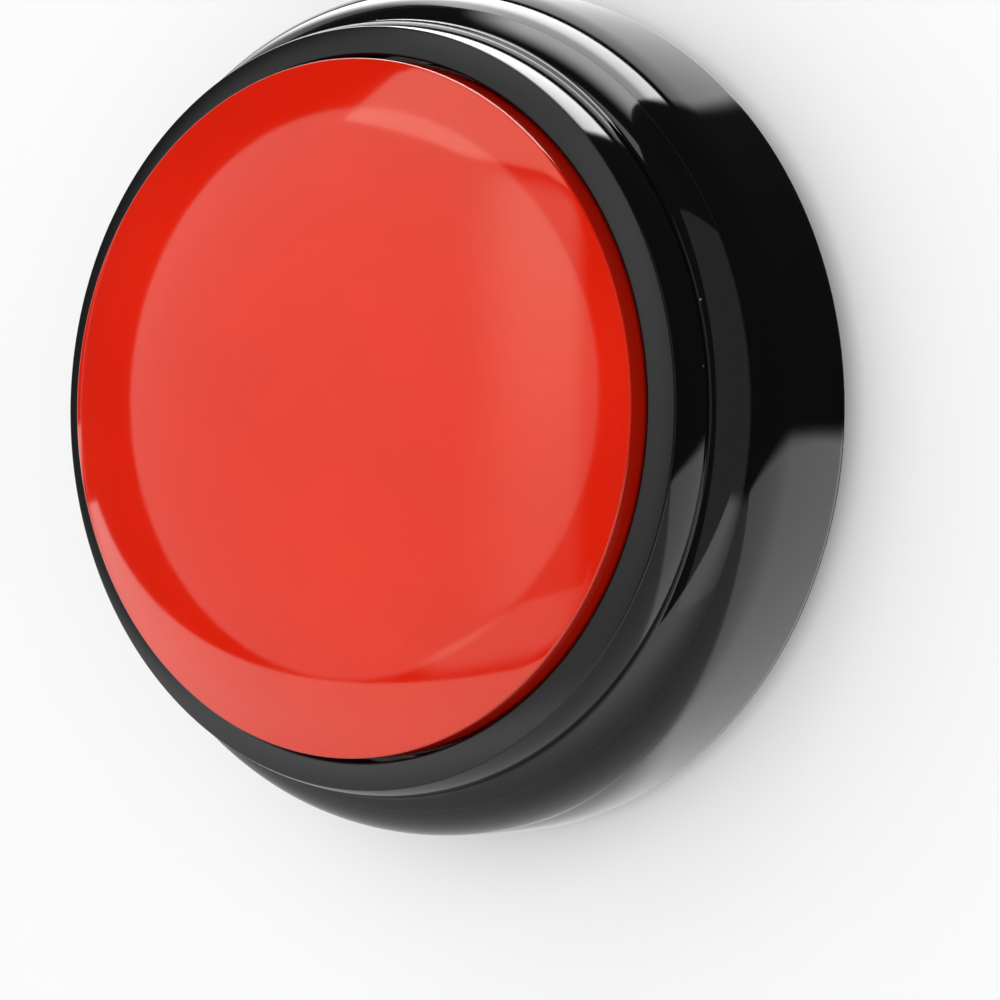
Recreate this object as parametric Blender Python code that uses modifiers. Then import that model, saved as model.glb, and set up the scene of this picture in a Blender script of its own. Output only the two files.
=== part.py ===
# Quiz buzzer: a round push button with a speaker, standing on four rubber feet.
# Lengths are in metres. +Z points up and the origin is on the table under the middle.
import math

import bmesh
import bpy

# Clearances
SEAT_GAP = 0.0003  # between pieces that rest on each other
SLIDE_GAP = 0.0004  # around hooks, stems and tabs that move
CLICK_GAP = 0.0001  # left between plunger and switch stem at full press

# Outer shape of the housing
BODY_RADIUS = 0.04445
WALL = 0.0024
EDGE_RADIUS = 0.0020  # rounding of the bottom edge
SIDE_HEIGHT = 0.00855  # straight side above that rounding
SHOULDER_HEIGHT = 0.00893
SHOULDER_WIDTH = 0.00465
SHOULDER_POWER = 2.2  # 2 is an ellipse, more is squarer
CREASE_LEDGE = 0.0002
COLLAR_HEIGHT = 0.00485
COLLAR_EDGE = 0.0009
COLLAR_FALL = 0.0002  # by which the collar's top drops towards its outside
COLLAR_RIM = 0.0032  # from the outside of the collar to its bore
BORE_EDGE = 0.0004
DECK_THICKNESS = 0.0018

# Red cap
CAP_WALL = 0.0020
CAP_GAP = 0.0006  # between the cap and the collar's bore
CAP_SIDE = 0.0023  # straight side that shows above the collar
CAP_EDGE = 0.0006
DOME_RISE = 0.00639
DOME_POWER = 2.7  # 2 is a plain bowl, more keeps the middle flatter
TRAVEL = 0.0030
PLUNGER_RADIUS = 0.0030
HOOK_INSET = 0.0060  # from the cap's side to the middle of a hook
HOOK_THICKNESS = 0.0018
HOOK_WIDTH = 0.0070
HOOK_BARB = 0.0013
HOOK_NOSE = 0.0022

# Return springs
SPRING_CIRCLE = 0.0160
SPRING_LENGTH = 0.0090
SPRING_RADIUS = 0.0026
SPRING_WIRE = 0.0005
SPRING_TURNS = 5.0
SPRING_POST = 0.0018  # radius of the posts inside each spring
POST_HEIGHT = 0.0022
SPRING_BOSS = 0.0035

# Base plate, feet and case screws
BASE_THICKNESS = 0.0022
FOOT_PROUD = 0.0020
FOOT_RADIUS = 0.0040
FOOT_SEAT = 0.0008
FOOT_EDGE = 0.0004
SCREW_INSET = 0.00525  # from the edge of the base plate
SCREW_ANGLE = 60.0
SCREW_LENGTH = 0.0080
SCREW_RADIUS = 0.0012
SCREW_HEAD = 0.0022
HEAD_HEIGHT = 0.0016
PAD_FLOOR = 0.0014
PAD_RADIUS = 0.0040
BOSS_RADIUS = 0.0032

# Batteries and their box
CELL_LENGTH = 0.0445
CELL_DIAMETER = 0.0105
CELL_NUB = 0.0010
NUB_RADIUS = 0.0019
CELL_ROOM = 0.0003
CONTACT_ROOM = 0.0030  # between a cell and the end of the box
BOX_WALL = 0.0016
BOX_ROOF = 0.0010
BOX_EDGE = 0.0008  # edge of the box next to the speaker
CONTACT_SHEET = 0.0005
CONTACT_WIDTH = 0.0076
CONTACT_LOW = 0.0045  # below the middle of the cell
CONTACT_HIGH = 0.0022
TAB_WIDTH = 0.0030
TAB_LENGTH = 0.0026
COIL_WIRE = 0.0004
COIL_TURNS = 1.5
COIL_WIDE = 0.0030
COIL_NARROW = 0.0018

# Battery door
DOOR_LEDGE = 0.0008
LUG_RADIUS = 0.0036
LUG_REACH = 0.0012
DOOR_TAB = 0.0060
TAB_SPREAD = 0.0150
TAB_RISE = 0.0011
TAB_HOOK = 0.0014
DOOR_SCREW = 0.0010
DOOR_SCREW_LENGTH = 0.0044
DOOR_SCREW_GAP = 0.0006  # lets the short screw swing out with the door
DOOR_HEAD = 0.0020
DOOR_HEAD_HEIGHT = 0.0010

# Speaker
SPEAKER_RADIUS = 0.0160
SPEAKER_Y = 0.0205
SPEAKER_DEPTH = 0.0042
SPEAKER_SHEET = 0.0008
MAGNET_RADIUS = 0.0070
MAGNET_HEIGHT = 0.0030
RING_WALL = 0.0012
RING_HEIGHT = 0.0020
CLIP_REACH = 0.0010  # over the edge of the speaker
CLIP_WIDTH = 0.0040
CLIP_HEIGHT = 0.0012
GRILLE_HOLE = 0.0010
GRILLE_PITCH = 0.0042

# Circuit board
BOARD_THICKNESS = 0.0016
BOARD_HALF_X = 0.0200
BOARD_LOW_Y = -0.0100
BOARD_HIGH_Y = 0.0220
STANDOFF = 0.0005
BOARD_SCREWS = ((-0.016, 0.004), (0.016, 0.004), (-0.011, 0.017), (0.011, 0.017))
BOARD_SCREW = 0.0009
BOARD_SCREW_HEAD = 0.0017
BOARD_SCREW_LENGTH = 0.0050
BOARD_PAD = 0.0024
BOARD_PAD_HEIGHT = 0.0018
SWITCH_SIZE = 0.0060
SWITCH_HEIGHT = 0.0035
STEM_RADIUS = 0.0017
STEM_PROUD = 0.0008
STEM_TRAVEL = 0.00025
STEM_DEPTH = 0.0012
LEAD_RADIUS = 0.0006
CHIP_RADIUS = 0.0042
CHIP_HEIGHT = 0.0014
CHIP_X = 0.0045
CHIP_Y = 0.0100
CAN_RADIUS = 0.0020
CAN_HEIGHT = 0.0050
CAN_X = -0.0060
CAN_Y = 0.0110

ROUND_STEPS = 56

# Heights and radii that follow from the sizes above
base_z = FOOT_PROUD
side_z = base_z + EDGE_RADIUS
shoulder_z = side_z + SIDE_HEIGHT
crease_z = shoulder_z + SHOULDER_HEIGHT
rim_z = crease_z + COLLAR_HEIGHT
collar_radius = BODY_RADIUS - SHOULDER_WIDTH
bore_radius = collar_radius - COLLAR_RIM
cap_radius = bore_radius - CAP_GAP
inner_radius = BODY_RADIUS - WALL
plate_radius = inner_radius - SEAT_GAP

floor_z = base_z + BASE_THICKNESS
cell_radius = CELL_DIAMETER / 2
cell_z = floor_z + SEAT_GAP + cell_radius
cradle = cell_radius + CELL_ROOM
cell_pitch = 2 * cradle
box_roof_z = cell_z + cradle + BOX_ROOF
cavity_x = CELL_LENGTH / 2 + CONTACT_ROOM
cavity_y = cell_pitch / 2 + cradle
box_x = cavity_x + BOX_WALL
box_y = cavity_y + BOX_WALL
box_mid_y = BOX_EDGE - box_y
cell_1_y = box_mid_y + cell_pitch / 2
cell_2_y = box_mid_y - cell_pitch / 2
opening_x = cavity_x + DOOR_LEDGE
hinge_y = box_mid_y + cavity_y + DOOR_LEDGE
latch_y = box_mid_y - cavity_y - DOOR_LEDGE
lug_y = latch_y - LUG_REACH
door_thickness = BASE_THICKNESS - SEAT_GAP

board_z = box_roof_z + SEAT_GAP
board_top = board_z + BOARD_THICKNESS
deck_z = board_top + SEAT_GAP + STANDOFF
deck_top = deck_z + DECK_THICKNESS
skirt_z = deck_top + TRAVEL + SLIDE_GAP
switch_z = board_top + SEAT_GAP
switch_top = switch_z + SWITCH_HEIGHT
stem_top = switch_top + STEM_PROUD
plunger_z = stem_top + TRAVEL - STEM_TRAVEL + CLICK_GAP
well_radius = max(SWITCH_SIZE * 0.7072, PLUNGER_RADIUS) + 4 * SLIDE_GAP
spring_seat_z = deck_top + SPRING_LENGTH
barb_z = deck_z - SEAT_GAP
hook_circle = cap_radius - HOOK_INSET

screw_circle = plate_radius - SCREW_INSET
head_z = base_z + FOOT_SEAT
seat_z = head_z + HEAD_HEIGHT + SEAT_GAP
pad_z = seat_z + PAD_FLOOR
boss_z = pad_z + SEAT_GAP
screw_top = head_z + HEAD_HEIGHT + SCREW_LENGTH
foot_top = base_z + FOOT_SEAT - SEAT_GAP

speaker_z = floor_z + SEAT_GAP
speaker_back = speaker_z + SPEAKER_DEPTH
dome_slope = math.atan(DOME_POWER * DOME_RISE / (cap_radius - CAP_EDGE / 2))
dome_radius = cap_radius - CAP_EDGE + CAP_EDGE * math.sin(dome_slope)
dome_z = rim_z + CAP_SIDE + CAP_EDGE * math.cos(dome_slope)
apex_z = dome_z + DOME_RISE

for leftover in list(bpy.data.objects):
    bpy.data.objects.remove(leftover, do_unlink=True)
parts = bpy.data.collections.new("quiz_buzzer")
cutters = bpy.data.collections.new("cutters")
bpy.context.scene.collection.children.link(parts)
bpy.context.scene.collection.children.link(cutters)
cutters.hide_render = True


def material(name, colour, roughness, metallic=0.0):
    made = bpy.data.materials.new(name)
    made.use_nodes = True
    shader = made.node_tree.nodes["Principled BSDF"]
    shader.inputs["Base Color"].default_value = (*colour, 1.0)
    shader.inputs["Roughness"].default_value = roughness
    shader.inputs["Metallic"].default_value = metallic
    made.diffuse_color = (*colour, 1.0)
    return made


black_gloss = material("black_gloss", (0.006, 0.006, 0.007), 0.12)
black_satin = material("black_satin", (0.012, 0.012, 0.013), 0.40)
red_gloss = material("red_gloss", (0.62, 0.014, 0.004), 0.10)
rubber = material("rubber", (0.020, 0.020, 0.020), 0.85)
steel = material("steel", (0.55, 0.55, 0.56), 0.30, 1.0)
nickel = material("nickel", (0.66, 0.63, 0.57), 0.25, 1.0)
cell_jacket = material("cell_jacket", (0.030, 0.100, 0.300), 0.35)
green_board = material("green_board", (0.015, 0.120, 0.040), 0.45)
paper_cone = material("paper_cone", (0.025, 0.024, 0.022), 0.80)
ferrite = material("ferrite", (0.045, 0.045, 0.048), 0.60)
epoxy = material("epoxy", (0.008, 0.008, 0.008), 0.25)
can_sleeve = material("can_sleeve", (0.030, 0.050, 0.120), 0.40)
red_wire = material("red_wire", (0.450, 0.020, 0.015), 0.50)
black_wire = material("black_wire", (0.012, 0.012, 0.012), 0.50)


def add_object(name, data, finish=None):
    made = bpy.data.objects.new(name, data)
    if finish is None:
        cutters.objects.link(made)
        made.display_type = "WIRE"
        made.hide_render = True
    else:
        parts.objects.link(made)
        data.materials.append(finish)
    return made


def solid(name, shape, finish=None):
    bmesh.ops.recalc_face_normals(shape, faces=shape.faces)
    data = bpy.data.meshes.new(name)
    shape.to_mesh(data)
    shape.free()
    return add_object(name, data, finish)


def add_cylinder(shape, radius, low, high, x=0.0, y=0.0, steps=20):
    rings = []
    for z in (low, high):
        ring = []
        for step in range(steps):
            angle = 2 * math.pi * step / steps
            ring.append(shape.verts.new((x + radius * math.cos(angle), y + radius * math.sin(angle), z)))
        rings.append(ring)
    shape.faces.new(rings[0][::-1])
    shape.faces.new(rings[1])
    for step in range(steps):
        after = (step + 1) % steps
        shape.faces.new((rings[0][step], rings[0][after], rings[1][after], rings[1][step]))


def add_prism(shape, outline, low, high, place):
    # place(u, v, w) turns an outline point u, v and a height w into x, y, z
    bottom = [shape.verts.new(place(u, v, low)) for u, v in outline]
    top = [shape.verts.new(place(u, v, high)) for u, v in outline]
    shape.faces.new(bottom[::-1])
    shape.faces.new(top)
    count = len(outline)
    for index in range(count):
        after = (index + 1) % count
        shape.faces.new((bottom[index], bottom[after], top[after], top[index]))


def add_box(shape, x, y, z):
    outline = ((x[0], y[0]), (x[1], y[0]), (x[1], y[1]), (x[0], y[1]))
    add_prism(shape, outline, z[0], z[1], upright)


def upright(u, v, w):
    return (u, v, w)


def along_x(u, v, w):
    return (w, u, v)


def spoke(angle, middle_y=0.0):
    # u runs outward from the middle at this angle, v is up and w runs across the spoke
    across = (-math.sin(angle), math.cos(angle))
    outward = (math.cos(angle), math.sin(angle))

    def place(u, v, w):
        return (u * outward[0] + w * across[0], middle_y + u * outward[1] + w * across[1], v)

    return place


def turned(name, profile, finish=None, x=0.0, y=0.0, steps=ROUND_STEPS, ring=False):
    # the profile runs down the outside; a ring profile closes on itself
    edges = [(index, index + 1) for index in range(len(profile) - 1)]
    if ring:
        edges.append((len(profile) - 1, 0))
    data = bpy.data.meshes.new(name)
    data.from_pydata([(r, 0.0, z) for r, z in profile], edges, [])
    made = add_object(name, data, finish)
    made.location = (x, y, 0.0)
    screw = made.modifiers.new("turn", "SCREW")
    screw.axis = "Z"
    screw.steps = steps
    screw.render_steps = steps
    screw.use_merge_vertices = True
    screw.merge_threshold = 0.00001
    screw.use_smooth_shade = True
    return made


def combine(target, tool, operation):
    step = target.modifiers.new(tool.name, "BOOLEAN")
    step.operation = operation
    step.solver = "EXACT"
    step.object = tool


def set_origin(piece, x, y, z):
    for vertex in piece.data.vertices:
        vertex.co.x -= x
        vertex.co.y -= y
        vertex.co.z -= z
    piece.location = (x, y, z)


def arc(centre_r, centre_z, radius, start, end, count):
    points = []
    for index in range(count + 1):
        angle = math.radians(start + (end - start) * index / count)
        points.append((centre_r + radius * math.cos(angle), centre_z + radius * math.sin(angle)))
    return points


def around(radius, angles):
    return [(radius * math.cos(math.radians(a)), radius * math.sin(math.radians(a))) for a in angles]


def shoulder_radius(z):
    # outside radius of the housing between the straight side and the crease
    if z <= shoulder_z:
        return BODY_RADIUS
    crease_radius = collar_radius + CREASE_LEDGE
    if z >= crease_z:
        return crease_radius
    share = (z - shoulder_z) / SHOULDER_HEIGHT
    bulge = (1.0 - share ** SHOULDER_POWER) ** (1.0 / SHOULDER_POWER)
    return crease_radius + (BODY_RADIUS - crease_radius) * bulge


def dome_height(r):
    return apex_z - DOME_RISE * (r / dome_radius) ** DOME_POWER


hook_angles = (30.0, 150.0, 270.0)
spring_places = around(SPRING_CIRCLE, (90.0, 210.0, 330.0))
screw_places = around(screw_circle, (SCREW_ANGLE, 180 - SCREW_ANGLE, 180 + SCREW_ANGLE, -SCREW_ANGLE))

# Housing: turned shell with the collar, its bore and the deck across it
profile = arc(bore_radius + BORE_EDGE, rim_z - BORE_EDGE, BORE_EDGE, 180, 90, 1)
profile += arc(collar_radius - COLLAR_EDGE, rim_z - COLLAR_FALL - COLLAR_EDGE, COLLAR_EDGE, 90, 0, 2)
profile.append((collar_radius, crease_z + CREASE_LEDGE))
for index in range(7):
    turn = math.pi / 2 * (1 - index / 6)
    height = shoulder_z + SHOULDER_HEIGHT * math.sin(turn) ** (2 / SHOULDER_POWER)
    profile.append((shoulder_radius(height), height))
profile += arc(BODY_RADIUS - EDGE_RADIUS, side_z, EDGE_RADIUS, 0, -90, 3)
profile.append((inner_radius, base_z))
for index in range(3):
    height = shoulder_z + (deck_z - shoulder_z) * index / 2
    profile.append((shoulder_radius(height) - WALL, height))
profile.append((well_radius, deck_z))
profile.append((well_radius, deck_top))
profile.append((bore_radius, deck_top))
housing = turned("housing", profile, black_gloss, ring=True)

posts = bmesh.new()
for x, y in screw_places:
    add_cylinder(posts, BOSS_RADIUS, boss_z, deck_z + DECK_THICKNESS / 2, x, y)
for x, y in spring_places:
    add_cylinder(posts, SPRING_POST, deck_z + DECK_THICKNESS / 2, deck_top + POST_HEIGHT, x, y, 16)
for x, y in BOARD_SCREWS:
    add_cylinder(posts, BOARD_PAD, deck_z - STANDOFF, deck_top + BOARD_PAD_HEIGHT, x, y, 16)
combine(housing, solid("housing_posts", posts), "UNION")

holes = bmesh.new()
for x, y in screw_places:
    add_cylinder(holes, SCREW_RADIUS + SEAT_GAP, boss_z - 0.001, screw_top + 0.001, x, y, 12)
for x, y in BOARD_SCREWS:
    top = board_z - SEAT_GAP + BOARD_SCREW_LENGTH + SEAT_GAP
    add_cylinder(holes, BOARD_SCREW + SEAT_GAP, deck_z - 0.002, top, x, y, 12)
for angle in hook_angles:
    half = HOOK_THICKNESS / 2 + SLIDE_GAP
    across = HOOK_WIDTH / 2 + SLIDE_GAP
    near = hook_circle - half
    far = hook_circle + half
    low = deck_z - 0.001
    high = deck_top + 0.001
    slot = ((near, low), (far, low), (far, high), (near, high))
    add_prism(holes, slot, -across, across, spoke(math.radians(angle)))
combine(housing, solid("housing_holes", holes), "DIFFERENCE")

# Cap: domed shell with a skirt, three hooks, a plunger and three spring seats
profile = [(dome_radius * index / 7, dome_height(dome_radius * index / 7)) for index in range(8)]
profile += arc(cap_radius - CAP_EDGE, rim_z + CAP_SIDE, CAP_EDGE, 90 - math.degrees(dome_slope), 0, 2)[1:]
profile.append((cap_radius, skirt_z))
profile.append((cap_radius - CAP_WALL, skirt_z))
inside = cap_radius - CAP_WALL
for index in range(5):
    r = inside * (1 - index / 4)
    profile.append((r, dome_height(r * dome_radius / (inside + CAP_EDGE)) - CAP_WALL))
button_cap = turned("button_cap", profile, red_gloss)

legs = bmesh.new()
for angle in hook_angles:
    inner = hook_circle - HOOK_THICKNESS / 2
    outer = hook_circle + HOOK_THICKNESS / 2
    top = dome_height(outer + 0.0005) - CAP_WALL * 0.4
    hook = (
        (inner, top),
        (inner, barb_z - HOOK_NOSE),
        (outer, barb_z - HOOK_NOSE),
        (outer + HOOK_BARB, barb_z - HOOK_NOSE / 3),
        (outer + HOOK_BARB, barb_z),
        (outer, barb_z),
        (outer, top),
    )
    add_prism(legs, hook, -HOOK_WIDTH / 2, HOOK_WIDTH / 2, spoke(math.radians(angle)))
for x, y in spring_places:
    top = dome_height(SPRING_CIRCLE + SPRING_BOSS) - CAP_WALL * 0.25
    add_cylinder(legs, SPRING_BOSS, spring_seat_z, top, x, y, 20)
add_cylinder(legs, PLUNGER_RADIUS, plunger_z, apex_z - CAP_WALL * 0.6, 0.0, 0.0, 20)
combine(button_cap, solid("cap_legs", legs), "UNION")

tips = bmesh.new()
for x, y in spring_places:
    add_cylinder(tips, SPRING_POST, spring_seat_z - POST_HEIGHT, spring_seat_z + 0.001, x, y, 16)
combine(button_cap, solid("cap_tips", tips), "UNION")

# Base plate with the battery box, the speaker ring and the screw pads
plate = bmesh.new()
add_cylinder(plate, plate_radius, base_z, floor_z, steps=ROUND_STEPS)
base_plate = solid("base_plate", plate, black_satin)

box = bmesh.new()
box_span = (box_mid_y - box_y, box_mid_y + box_y)
add_box(box, (-box_x, box_x), box_span, (floor_z - BASE_THICKNESS / 2, box_roof_z))
combine(base_plate, solid("battery_box", box), "UNION")

pads = bmesh.new()
for x, y in screw_places:
    add_cylinder(pads, PAD_RADIUS, floor_z - BASE_THICKNESS / 2, pad_z, x, y)
door_boss_z = floor_z + DOOR_SCREW_LENGTH
add_cylinder(pads, LUG_RADIUS + 0.0012, floor_z - BASE_THICKNESS / 2, door_boss_z, 0.0, lug_y)
combine(base_plate, solid("plate_pads", pads), "UNION")

ring_inside = SPEAKER_RADIUS + SEAT_GAP
ring = bmesh.new()
ring_low = floor_z - BASE_THICKNESS / 2
add_cylinder(ring, ring_inside + RING_WALL, ring_low, floor_z + RING_HEIGHT, 0.0, SPEAKER_Y, 32)
combine(base_plate, solid("speaker_ring", ring), "UNION")
bored = bmesh.new()
add_cylinder(bored, ring_inside, floor_z, pad_z + 0.001, 0.0, SPEAKER_Y, 32)
combine(base_plate, solid("speaker_seat", bored), "DIFFERENCE")
clips = bmesh.new()
clip_z = floor_z + 2 * SEAT_GAP + SPEAKER_SHEET
clip = ((ring_inside - CLIP_REACH, clip_z), (ring_inside + RING_WALL / 2, clip_z))
clip += ((ring_inside + RING_WALL / 2, clip_z + CLIP_HEIGHT), (ring_inside - CLIP_REACH / 3, clip_z + CLIP_HEIGHT))
for angle in (-30.0, 90.0, 210.0):
    add_prism(clips, clip, -CLIP_WIDTH / 2, CLIP_WIDTH / 2, spoke(math.radians(angle), SPEAKER_Y))
combine(base_plate, solid("speaker_clips", clips), "UNION")

# Cradle section seen along the cells: straight sides, then a half round over each cell
cradle_line = [(cavity_y, base_z - 0.001), (cavity_y, cell_z)]
for centre, start, end in ((cell_pitch / 2, 0, 150), (-cell_pitch / 2, 30, 180)):
    for index in range(9):
        angle = math.radians(start + (end - start) * index / 8)
        cradle_line.append((centre + cradle * math.cos(angle), cell_z + cradle * math.sin(angle)))
cradle_line.append((-cavity_y, base_z - 0.001))
cradle_line = [(y + box_mid_y, z) for y, z in cradle_line]
cells = bmesh.new()
add_prism(cells, cradle_line, -cavity_x, cavity_x, along_x)
combine(base_plate, solid("cell_cavity", cells), "DIFFERENCE")


def door_outline(grow):
    left = -opening_x - grow
    lug = LUG_RADIUS + grow
    line = [(left, hinge_y + grow), (left, latch_y - grow), (-lug, latch_y - grow)]
    for index in range(9):
        angle = math.pi * (1 + index / 8)
        line.append((lug * math.cos(angle), lug_y + lug * math.sin(angle)))
    line += [(lug, latch_y - grow), (-left, latch_y - grow), (-left, hinge_y + grow)]
    return line


opening = bmesh.new()
add_prism(opening, door_outline(0.0), base_z - 0.001, floor_z, upright)
combine(base_plate, solid("door_opening", opening), "DIFFERENCE")

recesses = bmesh.new()
for x, y in screw_places:
    add_cylinder(recesses, FOOT_RADIUS + SEAT_GAP, base_z - 0.001, head_z, x, y)
pilot = DOOR_SCREW + DOOR_SCREW_GAP
add_cylinder(recesses, pilot, base_z, door_boss_z + 0.001, 0.0, lug_y, 16)
for row in range(-2, 3):
    for column in range(-2, 3):
        x = (column + row / 2) * GRILLE_PITCH
        y = row * GRILLE_PITCH * math.sqrt(3) / 2
        if math.hypot(x, y) < 2.1 * GRILLE_PITCH:
            add_cylinder(recesses, GRILLE_HOLE, base_z - 0.001, floor_z + 0.001, x, SPEAKER_Y + y, 8)
for x in (-TAB_SPREAD, TAB_SPREAD):
    half = DOOR_TAB / 2 + SLIDE_GAP
    slot_y = (hinge_y - DOOR_LEDGE - 0.0005, hinge_y + TAB_HOOK + SLIDE_GAP)
    slot_z = (floor_z - SEAT_GAP, floor_z + TAB_RISE + 4 * SLIDE_GAP)
    add_box(recesses, (x - half, x + half), slot_y, slot_z)
for y in (cell_1_y, cell_2_y):
    half = TAB_WIDTH / 2 + SEAT_GAP
    slot_z = (cell_z - CONTACT_SHEET / 2 - SEAT_GAP, cell_z + CONTACT_SHEET / 2 + SEAT_GAP)
    add_box(recesses, (-box_x - 0.001, -cavity_x + 0.0005), (y - half, y + half), slot_z)
combine(base_plate, solid("plate_recesses", recesses), "DIFFERENCE")

counterbores = bmesh.new()
for x, y in screw_places:
    add_cylinder(counterbores, SCREW_HEAD + SEAT_GAP, base_z - 0.001, seat_z, x, y, 20)
combine(base_plate, solid("plate_counterbores", counterbores), "DIFFERENCE")

holes = bmesh.new()
for x, y in screw_places:
    add_cylinder(holes, SCREW_RADIUS + SEAT_GAP, base_z - 0.001, pad_z + 0.001, x, y, 12)
combine(base_plate, solid("plate_holes", holes), "DIFFERENCE")


def screw_piece(name, x, y, low, sizes, finish):
    # pan head at the bottom, blunt point at the top and a cross recess in the head
    head, head_height, shank, length = sizes
    top = low + head_height + length
    line = [
        (0.0, top),
        (shank, top - shank),
        (shank, low + head_height),
        (head, low + head_height),
        (head, low + head_height * 0.4),
        (head * 0.7, low),
        (0.0, low),
    ]
    made = turned(name, line, finish, x, y, 12)
    arm = head * 0.5
    half = head * 0.13
    cross = [
        (arm, -half),
        (arm, half),
        (half, half),
        (half, arm),
        (-half, arm),
        (-half, half),
        (-arm, half),
        (-arm, -half),
        (-half, -half),
        (-half, -arm),
        (half, -arm),
        (half, -half),
    ]
    recess = bmesh.new()
    outline = [(x + u, y + v) for u, v in cross]
    add_prism(recess, outline, low - 0.001, low + head_height * 0.5, upright)
    combine(made, solid(name + "_cross", recess), "DIFFERENCE")
    return made


case_sizes = (SCREW_HEAD, HEAD_HEIGHT, SCREW_RADIUS, SCREW_LENGTH)
for number, (x, y) in enumerate(screw_places, 1):
    screw_piece("case_screw_" + str(number), x, y, head_z, case_sizes, steel)
    foot = [
        (0.0, foot_top),
        (FOOT_RADIUS, foot_top),
        (FOOT_RADIUS, FOOT_EDGE),
        (FOOT_RADIUS - FOOT_EDGE, 0.0),
        (0.0, 0.0),
    ]
    turned("foot_" + str(number), foot, rubber, x, y, 24)

# Battery door: hooks under the plate on the hinge side and is screwed down at its lug
door = bmesh.new()
add_prism(door, door_outline(-SEAT_GAP), base_z, base_z + door_thickness, upright)
battery_door = solid("battery_door", door, black_satin)
set_origin(battery_door, 0.0, hinge_y, base_z)

tabs = bmesh.new()
tab_low = floor_z + SEAT_GAP
tab_line = [
    (hinge_y - 0.0018, base_z + door_thickness - 0.0006),
    (hinge_y - 0.0006, base_z + door_thickness - 0.0006),
    (hinge_y - 0.0006, tab_low),
    (hinge_y + TAB_HOOK, tab_low),
    (hinge_y + TAB_HOOK, tab_low + TAB_RISE),
    (hinge_y - 0.0018, tab_low + TAB_RISE),
]
for x in (-TAB_SPREAD, TAB_SPREAD):
    add_prism(tabs, tab_line, x - DOOR_TAB / 2, x + DOOR_TAB / 2, along_x)
combine(battery_door, solid("door_tabs", tabs), "UNION")

bores = bmesh.new()
door_seat_z = base_z + DOOR_HEAD_HEIGHT + SEAT_GAP
add_cylinder(bores, DOOR_HEAD + SEAT_GAP, base_z - 0.001, door_seat_z, 0.0, lug_y, 20)
combine(battery_door, solid("door_counterbore", bores), "DIFFERENCE")
bores = bmesh.new()
add_cylinder(bores, DOOR_SCREW + SEAT_GAP, base_z - 0.001, floor_z, 0.0, lug_y, 16)
combine(battery_door, solid("door_hole", bores), "DIFFERENCE")
door_sizes = (DOOR_HEAD, DOOR_HEAD_HEIGHT, DOOR_SCREW, DOOR_SCREW_LENGTH)
screw_piece("door_screw", 0.0, lug_y, base_z, door_sizes, steel)

# Two AAA cells side by side, head to tail
half_cell = CELL_LENGTH / 2
cell_line = [
    (0.0, half_cell),
    (NUB_RADIUS, half_cell),
    (NUB_RADIUS, half_cell - CELL_NUB),
    (cell_radius - 0.0006, half_cell - CELL_NUB),
    (cell_radius, half_cell - CELL_NUB - 0.0006),
    (cell_radius, 0.0006 - half_cell),
    (cell_radius - 0.0006, -half_cell),
    (0.0, -half_cell),
]
for name, y, turn in (("battery_cell_1", cell_1_y, -90.0), ("battery_cell_2", cell_2_y, 90.0)):
    cell = turned(name, cell_line, cell_jacket, 0.0, y, 20)
    cell.location.z = cell_z
    cell.rotation_euler = (0.0, math.radians(turn), 0.0)


def contact(name, side, ys, tab_y, bump_y):
    # sheet against the end wall; a bump meets the cell's nub and a tab leads out for the wire
    outside = side * (cavity_x - SEAT_GAP)
    face = outside - side * CONTACT_SHEET
    sheet = bmesh.new()
    span = (ys[0] - CONTACT_WIDTH / 2, ys[1] + CONTACT_WIDTH / 2)
    add_box(sheet, sorted((outside, face)), span, (cell_z - CONTACT_LOW, cell_z + CONTACT_HIGH))
    made = solid(name, sheet, nickel)
    if tab_y is not None:
        tab = bmesh.new()
        ends = sorted((side * (box_x + TAB_LENGTH), outside - side * CONTACT_SHEET / 2))
        across = (tab_y - TAB_WIDTH / 2, tab_y + TAB_WIDTH / 2)
        add_box(tab, ends, across, (cell_z - CONTACT_SHEET / 2, cell_z + CONTACT_SHEET / 2))
        combine(made, solid(name + "_tab", tab), "UNION")
    if bump_y is not None:
        reach = CONTACT_ROOM - SEAT_GAP - CONTACT_SHEET - SEAT_GAP
        line = [(0.0, reach), (0.0012, reach), (0.0020, 0.0), (0.0020, -CONTACT_SHEET / 2)]
        line.append((0.0, -CONTACT_SHEET / 2))
        bump = turned(name + "_bump", line, None, face, bump_y, 16)
        bump.location.z = cell_z
        bump.rotation_euler = (0.0, math.radians(-90.0 * side), 0.0)
        combine(made, bump, "UNION")
    return face


left_face = contact("contact_positive", -1, (cell_1_y, cell_1_y), cell_1_y, cell_1_y)
contact("contact_negative", -1, (cell_2_y, cell_2_y), cell_2_y, None)
right_face = contact("contact_bridge", 1, (cell_2_y, cell_1_y), None, cell_2_y)


def tube(name, points, radius, resolution, finish):
    data = bpy.data.curves.new(name, "CURVE")
    data.dimensions = "3D"
    data.bevel_depth = radius
    data.bevel_resolution = resolution
    data.use_fill_caps = True
    spline = data.splines.new("POLY")
    spline.points.add(len(points) - 1)
    for point, place in zip(spline.points, points):
        point.co = (*place, 1.0)
    return add_object(name, data, finish)


def least_gap(points, wire, per_turn):
    # shortest free distance between one curl and the curls beyond half a turn away
    least = 1.0
    for index, here in enumerate(points):
        for there in points[index + per_turn // 2 + 1:]:
            least = min(least, math.dist(here, there) - 2 * wire)
    return least


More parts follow.
